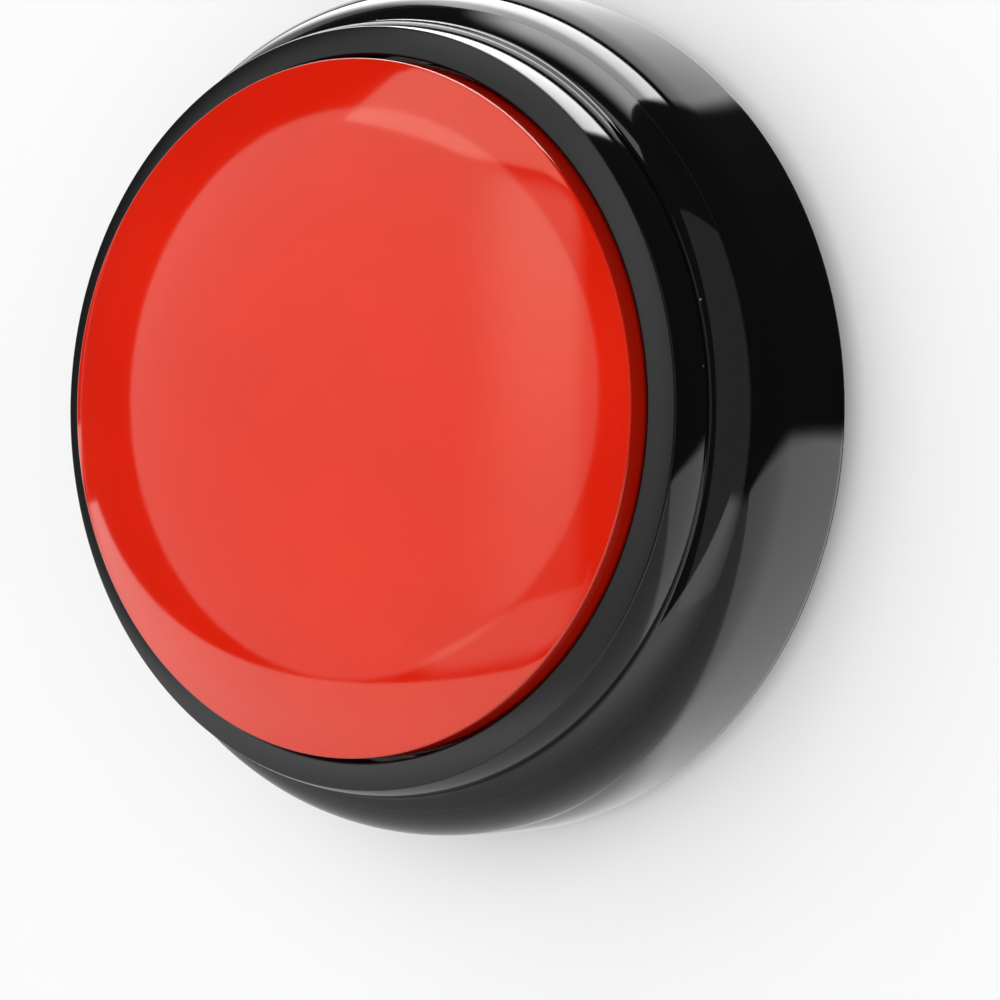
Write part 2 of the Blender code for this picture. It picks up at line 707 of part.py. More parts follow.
def coil(name, start, end, radii, turns, wire, per_turn, finish):
    # wound from start to end, about a straight line along X or Z
    count = int(turns * per_turn)
    points = []
    for index in range(count + 1):
        share = index / count
        angle = 2 * math.pi * turns * share
        radius = radii[0] + (radii[1] - radii[0]) * share
        u = radius * math.cos(angle)
        v = radius * math.sin(angle)
        middle = [a + (b - a) * share for a, b in zip(start, end)]
        if abs(end[2] - start[2]) > abs(end[0] - start[0]):
            points.append((middle[0] + u, middle[1] + v, middle[2]))
        else:
            points.append((middle[0], middle[1] + u, middle[2] + v))
    made = tube(name, points, wire, 1, finish)
    print(name, "least gap between curls, mm:", round(least_gap(points, wire, per_turn) * 1000, 3))
    return made


wire = SPRING_WIRE / 2
for number, (x, y) in enumerate(spring_places, 1):
    low = (x, y, deck_top + SEAT_GAP + wire)
    high = (x, y, spring_seat_z - SEAT_GAP - wire)
    radii = (SPRING_RADIUS, SPRING_RADIUS)
    coil("return_spring_" + str(number), low, high, radii, SPRING_TURNS, wire, 8, steel)

wire = COIL_WIRE / 2
radii = (COIL_WIDE, COIL_NARROW)
ends = (("contact_spring_1", right_face, 1, cell_1_y), ("contact_spring_2", left_face, -1, cell_2_y))
for name, face, side, y in ends:
    start = (face - side * (SEAT_GAP + wire), y, cell_z)
    end = (side * (half_cell + SEAT_GAP + wire), y, cell_z)
    coil(name, start, end, radii, COIL_TURNS, wire, 10, nickel)

# Speaker facing down over the grille: pressed frame, cone and magnet
rear = speaker_back - SPEAKER_SHEET
rim = SPEAKER_RADIUS - 0.0022
frame_line = [
    (0.0030, speaker_back),
    (MAGNET_RADIUS + 0.0032, speaker_back),
    (rim + SPEAKER_SHEET, speaker_z + SPEAKER_SHEET),
    (SPEAKER_RADIUS, speaker_z + SPEAKER_SHEET),
    (SPEAKER_RADIUS, speaker_z),
    (rim, speaker_z),
    (MAGNET_RADIUS + 0.0026, rear),
    (0.0030, rear),
]
turned("speaker_frame", frame_line, steel, 0.0, SPEAKER_Y, 32, ring=True)
cone_edge = rim - 2 * SEAT_GAP
cone_line = [
    (0.0, rear - SEAT_GAP - 0.0010),
    (0.0040, rear - SEAT_GAP - 0.0010),
    (cone_edge, speaker_z + 0.0004),
    (cone_edge, speaker_z),
    (0.0042, rear - SEAT_GAP - 0.0014),
    (0.0, rear - SEAT_GAP - 0.0018),
]
turned("speaker_cone", cone_line, paper_cone, 0.0, SPEAKER_Y, 32)
magnet_z = speaker_back + SEAT_GAP
magnet_line = [
    (0.0, magnet_z + MAGNET_HEIGHT),
    (MAGNET_RADIUS - 0.0004, magnet_z + MAGNET_HEIGHT),
    (MAGNET_RADIUS, magnet_z + MAGNET_HEIGHT - 0.0004),
    (MAGNET_RADIUS, magnet_z),
    (0.0, magnet_z),
]
turned("speaker_magnet", magnet_line, ferrite, 0.0, SPEAKER_Y, 28)

# Circuit board under the deck, with the switch in the middle of the well
board = bmesh.new()
add_box(board, (-BOARD_HALF_X, BOARD_HALF_X), (BOARD_LOW_Y, BOARD_HIGH_Y), (board_z, board_top))
circuit_board = solid("circuit_board", board, green_board)
holes = bmesh.new()
for x, y in BOARD_SCREWS:
    add_cylinder(holes, BOARD_SCREW + SEAT_GAP, board_z - 0.001, board_top + 0.001, x, y, 12)
combine(circuit_board, solid("board_holes", holes), "DIFFERENCE")
screw_low = board_z - SEAT_GAP - BOARD_SCREW_HEAD * 0.7
board_sizes = (BOARD_SCREW_HEAD, BOARD_SCREW_HEAD * 0.7, BOARD_SCREW, BOARD_SCREW_LENGTH)
for number, (x, y) in enumerate(BOARD_SCREWS, 1):
    screw_piece("board_screw_" + str(number), x, y, screw_low, board_sizes, steel)

body = bmesh.new()
half = SWITCH_SIZE / 2
add_box(body, (-half, half), (-half, half), (switch_z, switch_top))
switch_body = solid("switch_body", body, black_satin)
well = bmesh.new()
stem_low = switch_top - STEM_DEPTH
well_low = stem_low - STEM_TRAVEL - SEAT_GAP
add_cylinder(well, STEM_RADIUS + SEAT_GAP, well_low, switch_top + 0.001, steps=20)
combine(switch_body, solid("stem_well", well), "DIFFERENCE")
stem_line = [
    (0.0, stem_top),
    (STEM_RADIUS - 0.0002, stem_top),
    (STEM_RADIUS, stem_top - 0.0002),
    (STEM_RADIUS, stem_low),
    (0.0, stem_low),
]
turned("switch_stem", stem_line, black_satin, steps=20)

under = board_z - SEAT_GAP
chip_line = [
    (0.0, under),
    (CHIP_RADIUS, under),
    (CHIP_RADIUS * 0.86, under - CHIP_HEIGHT * 0.57),
    (CHIP_RADIUS * 0.48, under - CHIP_HEIGHT * 0.93),
    (0.0, under - CHIP_HEIGHT),
]
turned("sound_chip", chip_line, epoxy, CHIP_X, CHIP_Y, 16)
can_line = [
    (0.0, under),
    (CAN_RADIUS, under),
    (CAN_RADIUS, under - CAN_HEIGHT * 0.92),
    (CAN_RADIUS * 0.85, under - CAN_HEIGHT),
    (0.0, under - CAN_HEIGHT),
]
turned("capacitor", can_line, can_sleeve, CAN_X, CAN_Y, 16)


def smooth_route(corners, steps):
    # curve through every corner, with straight ends
    line = [corners[0]] + list(corners) + [corners[-1]]
    points = []
    for index in range(1, len(line) - 2):
        p0, p1, p2, p3 = line[index - 1:index + 3]
        for step in range(steps):
            t = step / steps
            point = []
            for a, b, c, d in zip(p0, p1, p2, p3):
                lead = 2 * b + (c - a) * t + (2 * a - 5 * b + 4 * c - d) * t * t
                point.append((lead + (3 * b - a - 3 * c + d) * t ** 3) / 2)
            points.append(tuple(point))
    points.append(corners[-1])
    return points


lead_top = board_z - SEAT_GAP
lead_low = speaker_back + SEAT_GAP
lead_y = SPEAKER_Y + MAGNET_RADIUS + 0.0010
for name, x, finish in (("speaker_lead_1", -0.0040, red_wire), ("speaker_lead_2", 0.0040, black_wire)):
    route = [
        (x, lead_y, lead_low),
        (x, lead_y, lead_low + 0.0030),
        (x, SPEAKER_Y + 0.0030, lead_top - 0.0022),
        (x, BOARD_HIGH_Y - 0.0025, lead_top - 0.0015),
        (x, BOARD_HIGH_Y - 0.0035, lead_top),
    ]
    tube(name, smooth_route(route, 3), LEAD_RADIUS, 1, finish)

tab_x = -box_x - TAB_LENGTH * 0.6
tab_z = cell_z + CONTACT_SHEET / 2 + SEAT_GAP + LEAD_RADIUS
route_1 = [
    (tab_x, cell_1_y - 0.0010, tab_z),
    (tab_x, cell_1_y + 0.0030, tab_z),
    (tab_x, BOX_EDGE + 0.0010, tab_z + 0.0005),
    (tab_x + 0.0040, BOX_EDGE + 0.0040, tab_z + 0.0010),
    (-BOARD_HALF_X + 0.0010, 0.0075, lead_top - 0.0035),
    (-BOARD_HALF_X + 0.0025, 0.0090, lead_top),
]
tube("battery_lead_1", smooth_route(route_1, 3), LEAD_RADIUS, 1, red_wire)
route_2 = [
    (tab_x, cell_2_y - 0.0010, tab_z),
    (tab_x, cell_2_y + 0.0025, tab_z),
    (tab_x - 0.0035, cell_1_y - 0.0040, tab_z - 0.0005),
    (tab_x - 0.0030, cell_1_y + 0.0060, tab_z - 0.0015),
    (tab_x + 0.0060, BOX_EDGE + 0.0060, tab_z - 0.0010),
    (-BOARD_HALF_X + 0.0020, 0.0120, lead_top - 0.0035),
    (-BOARD_HALF_X + 0.0035, 0.0130, lead_top),
]
tube("battery_lead_2", smooth_route(route_2, 3), LEAD_RADIUS, 1, black_wire)

print("overall height, mm:", round(apex_z * 1000, 3))
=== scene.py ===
import math

import bmesh
import bpy
from mathutils import Matrix, Quaternion, Vector


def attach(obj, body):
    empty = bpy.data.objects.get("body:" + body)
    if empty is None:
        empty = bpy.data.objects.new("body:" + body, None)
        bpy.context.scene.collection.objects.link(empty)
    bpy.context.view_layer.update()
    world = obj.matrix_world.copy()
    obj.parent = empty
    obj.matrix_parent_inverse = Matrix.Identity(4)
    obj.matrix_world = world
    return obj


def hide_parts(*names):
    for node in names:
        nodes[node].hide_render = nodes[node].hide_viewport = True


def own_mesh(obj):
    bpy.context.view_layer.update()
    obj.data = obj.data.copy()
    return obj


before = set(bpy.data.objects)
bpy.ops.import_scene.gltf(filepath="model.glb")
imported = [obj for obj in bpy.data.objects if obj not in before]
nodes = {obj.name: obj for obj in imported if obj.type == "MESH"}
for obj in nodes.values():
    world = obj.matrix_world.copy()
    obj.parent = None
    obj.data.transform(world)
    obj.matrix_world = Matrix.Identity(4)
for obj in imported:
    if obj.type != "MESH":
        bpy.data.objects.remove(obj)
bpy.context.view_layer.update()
scene = bpy.context.scene
print("frame loaded:", len(nodes), "nodes")


# shader maths: a Signal wraps a socket, a Graph adds nodes, a Finish is one material
class Signal:
    def __init__(self, graph, socket):
        self.graph = graph
        self.socket = socket

    def __add__(self, other):
        return self.graph.maths("ADD", self, other)

    def __radd__(self, other):
        return self.graph.maths("ADD", other, self)

    def __sub__(self, other):
        return self.graph.maths("SUBTRACT", self, other)

    def __rsub__(self, other):
        return self.graph.maths("SUBTRACT", other, self)

    def __mul__(self, other):
        return self.graph.maths("MULTIPLY", self, other)

    def __rmul__(self, other):
        return self.graph.maths("MULTIPLY", other, self)

    def __gt__(self, other):
        return self.graph.maths("GREATER_THAN", self, other)

    def __lt__(self, other):
        return self.graph.maths("LESS_THAN", self, other)


class Graph:
    def __init__(self, tree):
        self.tree = tree

    def node(self, kind, settings, values, output=0):
        made = self.tree.nodes.new(kind)
        for key, value in settings.items():
            if key == "stops":
                for stop, (position, colour) in zip(made.color_ramp.elements, value):
                    stop.position = position
                    stop.color = (*colour, 1.0)
            else:
                setattr(made, key, value)
        for key, value in values.items():
            self.put(made.inputs[key], value)
        return Signal(self, made.outputs[output])

    def put(self, socket, value):
        if isinstance(value, Signal):
            self.tree.links.new(value.socket, socket)
        else:
            socket.default_value = value

    def maths(self, operation, left, right):
        return self.node("ShaderNodeMath", {"operation": operation}, {0: left, 1: right})

    def split(self, vector, name):
        return self.node("ShaderNodeSeparateXYZ", {}, {"Vector": vector}, name)

    def slide(self, signal, low, high, start, end):
        values = {"Value": signal, "From Min": low, "From Max": high, "To Min": start, "To Max": end}
        return self.node("ShaderNodeMapRange", {"interpolation_type": "SMOOTHSTEP"}, values)


class Finish(Graph):
    def __init__(self, name, colour, roughness, metallic=0.0):
        self.material = bpy.data.materials.new(name)
        self.material.use_nodes = True
        super().__init__(self.material.node_tree)
        self.shader = self.tree.nodes["Principled BSDF"]
        self.feed("Base Color", (*colour, 1.0))
        self.feed("Roughness", roughness)
        self.feed("Metallic", metallic)
        self.place = self.node("ShaderNodeTexCoord", {}, {}, "Object")

    def feed(self, name, value):
        self.put(self.shader.inputs[name], value)

    def noise(self, scale, detail=2.0, place=None):
        values = {"Vector": place or self.place, "Scale": scale, "Detail": detail}
        return self.node("ShaderNodeTexNoise", {}, values, "Fac")

    def specks(self, scale, size):
        values = {"Vector": self.place, "Scale": scale}
        return self.node("ShaderNodeTexVoronoi", {}, values, "Distance") < size

    def stretch(self, x, y, z):
        return self.node("ShaderNodeMapping", {}, {"Vector": self.place, "Scale": (x, y, z)})

    def blend(self, factor, first, second):
        return self.layer(factor, (*first, 1.0), (*second, 1.0))

    def layer(self, factor, first, second):
        return self.node("ShaderNodeMix", {"data_type": "RGBA"}, {0: factor, 6: first, 7: second}, 2)

    def bands(self, direction, scale):
        settings = {"wave_type": "BANDS", "bands_direction": direction}
        return self.node("ShaderNodeTexWave", settings, {"Vector": self.place, "Scale": scale}, "Fac")

    def rings(self, centre, scale):
        moved = self.node("ShaderNodeMapping", {}, {"Vector": self.place, "Location": centre})
        settings = {"wave_type": "RINGS", "rings_direction": "Z"}
        return self.node("ShaderNodeTexWave", settings, {"Vector": moved, "Scale": scale}, "Fac")

    def ramp(self, signal, low, high, lowColour, highColour):
        stops = ((low, lowColour), (high, highColour))
        return self.node("ShaderNodeValToRGB", {"stops": stops}, {"Fac": signal}, "Color")

    def bump(self, height, strength, distance):
        values = {"Height": height, "Strength": strength, "Distance": distance}
        self.feed("Normal", self.node("ShaderNodeBump", {}, values, "Normal"))

    def axis(self, name):
        return self.split(self.place, name)


# mesh helpers
def spinProfile(points, steps, closed=False):
    mesh = bmesh.new()
    line = [mesh.verts.new((r, 0.0, z)) for r, z in points]
    for first, second in zip(line, line[1:]):
        mesh.edges.new((first, second))
    if closed:
        mesh.edges.new((line[-1], line[0]))
    geometry = mesh.verts[:] + mesh.edges[:]
    bmesh.ops.spin(mesh, geom=geometry, cent=(0, 0, 0), axis=(0, 0, 1), angle=math.tau, steps=steps, use_merge=True)
    bmesh.ops.remove_doubles(mesh, verts=mesh.verts, dist=0.000001)
    bmesh.ops.recalc_face_normals(mesh, faces=mesh.faces)
    return mesh


def arcPoints(centreR, centreZ, radius, start, end, count):
    turns = [math.radians(start + (end - start) * step / count) for step in range(count + 1)]
    return [(centreR + radius * math.cos(turn), centreZ + radius * math.sin(turn)) for turn in turns]


def addRod(mesh, radius, low, high, x=0.0, y=0.0, steps=32):
    place = Matrix.Translation((x, y, (low + high) / 2))
    bmesh.ops.create_cone(
        mesh, cap_ends=True, segments=steps, radius1=radius, radius2=radius, depth=high - low, matrix=place)


def addBlock(mesh, low, high, turn=None):
    size = Vector(high) - Vector(low)
    place = Matrix.Translation((Vector(low) + Vector(high)) / 2) @ Matrix.Diagonal((*size, 1.0))
    bmesh.ops.create_cube(mesh, size=1.0, matrix=(turn or Matrix.Identity(4)) @ place)


def addOutline(mesh, points, rise, place=None):
    face = mesh.faces.new([mesh.verts.new(point) for point in points])
    pulled = bmesh.ops.extrude_face_region(mesh, geom=[face], use_keep_orig=True)
    moved = [item for item in pulled["geom"] if isinstance(item, bmesh.types.BMVert)]
    bmesh.ops.translate(mesh, verts=moved, vec=rise)
    if place is not None:
        bmesh.ops.transform(mesh, matrix=place, verts=list(face.verts) + moved)
    bmesh.ops.recalc_face_normals(mesh, faces=mesh.faces)


def makeObject(name, mesh):
    data = bpy.data.meshes.new(name)
    bmesh.ops.recalc_face_normals(mesh, faces=mesh.faces)
    mesh.to_mesh(data)
    mesh.free()
    made = bpy.data.objects.new(name, data)
    scene.collection.objects.link(made)
    return made


def bake(piece):
    graph = bpy.context.evaluated_depsgraph_get()
    shaped = bpy.data.meshes.new_from_object(piece.evaluated_get(graph))
    piece.modifiers.clear()
    piece.data = shaped


def combine(piece, tool, operation):
    step = piece.modifiers.new("combine", "BOOLEAN")
    step.operation = operation
    step.solver = "EXACT"
    step.object = tool
    bake(piece)
    bpy.data.objects.remove(tool, do_unlink=True)


def softenEdges(piece, width, angle=50.0):
    step = piece.modifiers.new("softEdges", "BEVEL")
    step.width = width
    step.segments = 2
    step.limit_method = "ANGLE"
    step.angle_limit = math.radians(angle)
    bake(piece)


def finishPiece(piece, body, finish, slot, *replaced, sharp=50.0):
    piece.data.materials.clear()
    piece.data.materials.append(finish.material)
    piece.data.shade_smooth()
    piece.data.set_sharp_from_angle(angle=math.radians(sharp))
    for face in piece.data.polygons:
        face.use_smooth = len(face.vertices) <= 4  # large flat faces keep one even shade
    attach(piece, body)
    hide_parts(*replaced)
    print("piece:", piece.name, len(piece.data.polygons), "faces")
    return piece


# camera: standing off the rim, with the cap's axis to the left of the frame
cameraLook = {
    "place": (-0.01080, -0.44112, 0.59687), "right": (0.00145, -0.80306, -0.59589), "up": (1.0, 0.0, 0.00244), "lens": 252.0,
}
cameraData = bpy.data.cameras.new("camera")
cameraData.sensor_width = 36.0
cameraData.lens = cameraLook["lens"]
camera = bpy.data.objects.new("camera", cameraData)
scene.collection.objects.link(camera)
right = Vector(cameraLook["right"]).normalized()
back = right.cross(Vector(cameraLook["up"])).normalized()
turned = Matrix((right, back.cross(right), back)).transposed().to_4x4()
camera.matrix_world = Matrix.Translation(cameraLook["place"]) @ turned
scene.camera = camera
print("camera set")

# finishes of the moulded shells
blackLook = {"colour": (0.0032, 0.0032, 0.0037), "dust": (0.20, 0.20, 0.20), "rough": 0.045, "smudge": 0.05, "shine": 0.43, "creaseZ": 0.0217,
    "rimZ": (0.0259, 0.0262), "rimRough": 0.20, "rimDull": 0.4}
gloss = Finish("glossBlack", blackLook["colour"], blackLook["rough"])
gloss.feed("Specular IOR Level", blackLook["shine"])
smudge = gloss.noise(70.0, 4.0)
crease = gloss.slide(gloss.axis("Z"), blackLook["creaseZ"] - 0.0014, blackLook["creaseZ"], 0.0, 1.0)
crease = crease * gloss.slide(gloss.axis("Z"), blackLook["creaseZ"], blackLook["creaseZ"] + 0.0014, 1.0, 0.0)
dusty = gloss.specks(420.0, 0.055) * (gloss.noise(160.0) > 0.56) * crease
gloss.feed("Base Color", gloss.blend(dusty, blackLook["colour"], blackLook["dust"]))
satinRim = gloss.slide(gloss.axis("Z"), *blackLook["rimZ"], 0.0, 1.0)  # the collar's top is duller than the rest
gloss.feed("Metallic", blackLook["rimDull"] * satinRim)
gloss.feed("Roughness", blackLook["rough"] + blackLook["smudge"] * smudge * smudge + dusty * 0.5 + blackLook["rimRough"] * satinRim)
gloss.bump(gloss.noise(800.0, 1.0), 0.04, 0.00004)

redLook = {
    "deep": (0.690, 0.0110, 0.0014), "bright": (0.760, 0.0145, 0.0024), "sheen": (1.0, 0.95, 0.74), "rough": 0.05, "smudge": 0.08,
}
red = Finish("glossRed", redLook["bright"], redLook["rough"])
red.feed("Specular Tint", (*redLook["sheen"], 1.0))
red.feed("Base Color", red.ramp(red.noise(45.0, 3.0), 0.3, 0.7, redLook["deep"], redLook["bright"]))
red.feed("Roughness", redLook["rough"] + redLook["smudge"] * red.noise(60.0, 4.0) * red.noise(420.0))
red.bump(red.noise(700.0, 1.0), 0.04, 0.00004)

satinLook = {"low": (0.0085, 0.0085, 0.0092), "high": (0.0150, 0.0150, 0.0160), "rough": 0.36}
satin = Finish("satinBlack", satinLook["low"], satinLook["rough"])
grain = satin.noise(3600.0, 3.0)
satin.feed("Base Color", satin.ramp(satin.noise(240.0, 3.0), 0.35, 0.7, satinLook["low"], satinLook["high"]))
satin.feed("Roughness", satinLook["rough"] + 0.16 * grain)
satin.bump(grain, 0.35, 0.00006)

rubberLook = {"dark": (0.014, 0.014, 0.014), "worn": (0.050, 0.049, 0.047)}
rubber = Finish("rubber", rubberLook["dark"], 0.8)
wear = rubber.noise(900.0, 4.0) * rubber.slide(rubber.axis("Z"), 0.0002, 0.0008, 1.0, 0.0)
rubber.feed("Base Color", rubber.ramp(wear, 0.25, 0.75, rubberLook["dark"], rubberLook["worn"]))
rubber.feed("Roughness", 0.72 + 0.18 * rubber.noise(500.0))
rubber.bump(rubber.noise(2600.0, 3.0), 0.4, 0.00008)

steelLook = {"dark": (0.42, 0.42, 0.43), "light": (0.66, 0.66, 0.66)}
steel = Finish("zincSteel", steelLook["light"], 0.26, 1.0)
steel.feed("Base Color", steel.ramp(steel.noise(900.0, 4.0), 0.3, 0.7, steelLook["dark"], steelLook["light"]))
steel.feed("Roughness", 0.20 + 0.20 * steel.noise(2200.0))
nickelLook = {"dark": (0.47, 0.45, 0.41), "light": (0.70, 0.68, 0.62)}
nickel = Finish("nickelPlate", nickelLook["light"], 0.22, 1.0)
nickel.feed("Base Color", nickel.ramp(nickel.noise(600.0, 4.0), 0.3, 0.7, nickelLook["dark"], nickelLook["light"]))
nickel.feed("Roughness", 0.16 + 0.18 * nickel.noise(1800.0, 3.0, nickel.stretch(1.0, 0.12, 1.0)))

jacketLook = {"ink": (0.022, 0.060, 0.085), "pale": (0.034, 0.080, 0.108), "bare": (0.62, 0.61, 0.58), "end": 0.0204}
jacket = Finish("cellJacket", jacketLook["ink"], 0.3)
bareEnd = (jacket.axis("X") > jacketLook["end"]) + (jacket.axis("X") < -jacketLook["end"])
inked = jacket.ramp(jacket.noise(500.0, 3.0), 0.35, 0.65, jacketLook["ink"], jacketLook["pale"])
jacket.feed("Base Color", jacket.layer(bareEnd, inked, (*jacketLook["bare"], 1.0)))
jacket.feed("Metallic", bareEnd)
jacket.feed("Roughness", 0.24 + 0.12 * jacket.noise(900.0, 3.0))

boardLook = {"mask": (0.010, 0.070, 0.026), "track": (0.017, 0.118, 0.044), "pitch": 120.0}
board = Finish("boardMask", boardLook["mask"], 0.34)
alongX = board.bands("X", boardLook["pitch"]) > 0.72
alongY = board.bands("Y", boardLook["pitch"]) > 0.72
routed = board.noise(90.0) > 0.5
tracks = alongX * routed + alongY * (1 - routed)
board.feed("Base Color", board.blend(tracks, boardLook["mask"], boardLook["track"]))
board.feed("Roughness", 0.28 + 0.14 * board.noise(1500.0))
board.bump(tracks, 0.5, 0.00004)

coneLook = {"dark": (0.020, 0.019, 0.018), "fibre": (0.048, 0.045, 0.041), "centre": (0.0, -0.0205, 0.0)}
cone = Finish("pressedPaper", coneLook["dark"], 0.8)
fibres = cone.noise(2400.0, 5.0)
cone.feed("Base Color", cone.ramp(fibres, 0.35, 0.75, coneLook["dark"], coneLook["fibre"]))
cone.feed("Roughness", 0.7 + 0.2 * fibres)
cone.bump(cone.rings(coneLook["centre"], 150.0) + 0.3 * fibres, 0.6, 0.0001)

ferriteLook = {"dark": (0.022, 0.022, 0.024), "light": (0.060, 0.060, 0.064)}
ferrite = Finish("ferrite", ferriteLook["dark"], 0.62)
ferrite.feed("Base Color", ferrite.ramp(ferrite.noise(1100.0, 4.0), 0.35, 0.7, ferriteLook["dark"], ferriteLook["light"]))
ferrite.feed("Roughness", 0.52 + 0.25 * ferrite.noise(2600.0))
ferrite.bump(ferrite.noise(2600.0, 3.0), 0.4, 0.00006)

epoxyLook = {"dark": (0.006, 0.006, 0.006), "light": (0.016, 0.016, 0.015)}
epoxy = Finish("epoxyDrop", epoxyLook["dark"], 0.25)
epoxy.feed("Base Color", epoxy.ramp(epoxy.noise(800.0, 3.0), 0.4, 0.7, epoxyLook["dark"], epoxyLook["light"]))
epoxy.feed("Roughness", 0.18 + 0.2 * epoxy.noise(400.0, 3.0))

sleeveLook = {"film": (0.012, 0.018, 0.060), "stripe": (0.36, 0.38, 0.42), "metal": (0.66, 0.66, 0.67), "stripeX": -0.0072, "capZ": 0.0116}
sleeve = Finish("canSleeve", sleeveLook["film"], 0.3)
topEnd = sleeve.axis("Z") < sleeveLook["capZ"]
striped = sleeve.blend(sleeve.axis("X") < sleeveLook["stripeX"], sleeveLook["film"], sleeveLook["stripe"])
sleeve.feed("Base Color", sleeve.layer(topEnd, striped, (*sleeveLook["metal"], 1.0)))
sleeve.feed("Metallic", topEnd)
sleeve.feed("Roughness", 0.26 + 0.1 * sleeve.noise(1200.0))


def wireFinish(name, dark, light):
    sheath = Finish(name, dark, 0.4)
    sheath.feed("Base Color", sheath.ramp(sheath.noise(700.0, 3.0), 0.3, 0.7, dark, light))
    sheath.feed("Roughness", 0.34 + 0.16 * sheath.noise(1600.0))
    return sheath


redWire = wireFinish("redWire", (0.36, 0.010, 0.008), (0.46, 0.016, 0.012))
blackWire = wireFinish("blackWire", (0.010, 0.010, 0.010), (0.022, 0.022, 0.022))
print("finishes ready")

# places that several pieces share
places = {
    "screws": [(0.01825, 0.03161), (-0.01825, 0.03161), (-0.01825, -0.03161), (0.01825, -0.03161)],
    "springs": [(0.0, 0.016), (-0.0138564, -0.008), (0.0138564, -0.008)],
    "board": [(-0.016, 0.004), (0.016, 0.004), (-0.011, 0.017), (0.011, 0.017)],
    "hooks": [30.0, 150.0, 270.0], "hookCircle": 0.0300, "lug": (0.0, -0.0250), "cells": [-0.00635, -0.01745],
}

# housing: stepped shell, spun from its section
housing = {
    "bodyRadius": 0.04445, "wall": 0.0024, "baseZ": 0.0020, "edge": 0.0020, "sideZ": 0.0040, "shoulderZ": 0.01255,
    "creaseZ": 0.02148, "rimZ": 0.02703, "edgeZ": 0.02585, "collarFoot": 0.0403, "collarLean": (21.0, 1.0), "collarEdge": 0.00035,
    "creaseFillet": 0.0004,
    "shoulderIn": 0.0370, "power": 2.2, "boreRadius": 0.0364, "boreEdge": 0.00025, "deckZ": 0.0190, "deckTop": 0.0208,
    "wellRadius": 0.0058432, "steps": 192,
}


def shoulderStart(size):
    share = (size["collarFoot"] - size["shoulderIn"]) / (size["bodyRadius"] - size["shoulderIn"])
    return math.acos(share ** (size["power"] / 2))


def shoulderAt(size, turn):
    bend = 2.0 / size["power"]
    height = (size["creaseZ"] - size["shoulderZ"]) / math.sin(shoulderStart(size)) ** bend
    radius = size["shoulderIn"] + (size["bodyRadius"] - size["shoulderIn"]) * math.cos(turn) ** bend
    return radius, size["shoulderZ"] + height * math.sin(turn) ** bend


def collarWall(size, height):
    top, foot = (math.radians(lean) for lean in size["collarLean"])  # the wall leans in and bellies out a little
    radius = height / (math.sin(top) - math.sin(foot))
    leans = [top + (foot - top) * step / 10 for step in range(11)]
    return [(size["collarFoot"] + radius * (math.cos(lean) - math.cos(foot)),
             size["creaseZ"] + radius * (math.sin(lean) - math.sin(foot))) for lean in leans]


def creaseArc(radius, above, corner, below):
    up, out = [(Vector(point) - Vector(corner)).normalized() for point in (above, below)]
    middle = (up + out).normalized()
    centre = Vector(corner) + middle * radius / math.sin(up.angle(middle))
    start, end = math.degrees(math.atan2(up.x, -up.y)) % 360, math.degrees(math.atan2(-out.x, out.y)) % 360
    return arcPoints(centre.x, centre.y, radius, start, end, 6)


def housingSection(size):
    edge, lip, edgeZ = size["collarEdge"], size["boreEdge"], size["edgeZ"]
    lean = math.radians(size["collarLean"][0])
    wall = collarWall(size, edgeZ + edge * math.sin(lean) - size["creaseZ"])
    edgeR, lipR, lipZ = wall[0][0] - edge * math.cos(lean), size["boreRadius"] + lip, size["rimZ"] - lip
    lineTilt = math.atan2(lipZ - edgeZ, edgeR - lipR)
    facing = 90 - math.degrees(lineTilt - math.asin((edge - lip) / math.hypot(lipZ - edgeZ, edgeR - lipR)))
    line = arcPoints(lipR, lipZ, lip, 180, facing, 6)  # the rim slopes outward between its two rounded edges
    line += arcPoints(edgeR, edgeZ, edge, facing, math.degrees(lean), 8) + wall[1:-1]
    first = shoulderStart(size)
    shoulder = [shoulderAt(size, first * (1 - step / 30)) for step in range(31)]
    line += creaseArc(size["creaseFillet"], wall[-2], shoulder[0], shoulder[1]) + shoulder[1:]
    line += arcPoints(size["bodyRadius"] - size["edge"], size["sideZ"], size["edge"], 0, -90, 10)
    line += [(size["bodyRadius"] - size["wall"], size["baseZ"])]
    for step in range(7):
        radius, height = shoulderAt(size, math.pi / 2 * step / 12)
        line.append((radius - size["wall"], min(height, size["deckZ"])))
    line += [(size["wellRadius"], size["deckZ"]), (size["wellRadius"], size["deckTop"]), (size["boreRadius"], size["deckTop"])]
    return line


shell = makeObject("housingShell", spinProfile(housingSection(housing), housing["steps"], closed=True))
posts = bmesh.new()
for x, y in places["screws"]:
    addRod(posts, 0.0032, 0.0064, 0.0199, x, y)
for x, y in places["springs"]:
    addRod(posts, 0.0018, 0.0199, 0.0230, x, y)
for x, y in places["board"]:
    addRod(posts, 0.0024, 0.0185, 0.0226, x, y)
combine(shell, makeObject("shellPosts", posts), "UNION")
holes = bmesh.new()
for x, y in places["screws"]:
    addRod(holes, 0.0015, 0.0054, 0.0134, x, y)
for x, y in places["board"]:
    addRod(holes, 0.0012, 0.0170, 0.0216, x, y)
for angle in places["hooks"]:
    addBlock(holes, (0.0287, -0.0039, 0.0180), (0.0313, 0.0039, 0.0218), Matrix.Rotation(math.radians(angle), 4, "Z"))
combine(shell, makeObject("shellHoles", holes), "DIFFERENCE")
finishPiece(shell, "case", gloss, "black_gloss", "housing")

# red cap: domed shell with hooks, plunger and spring seats below
cap = {
    "radius": 0.0360, "edge": 0.0004, "sideZ": 0.02881, "rise": 0.00639, "power": 2.7, "wall": 0.0020, "skirtZ": 0.0242,
    "plungerZ": 0.02565, "seatZ": 0.0298, "barbZ": 0.0187, "steps": 192,
}


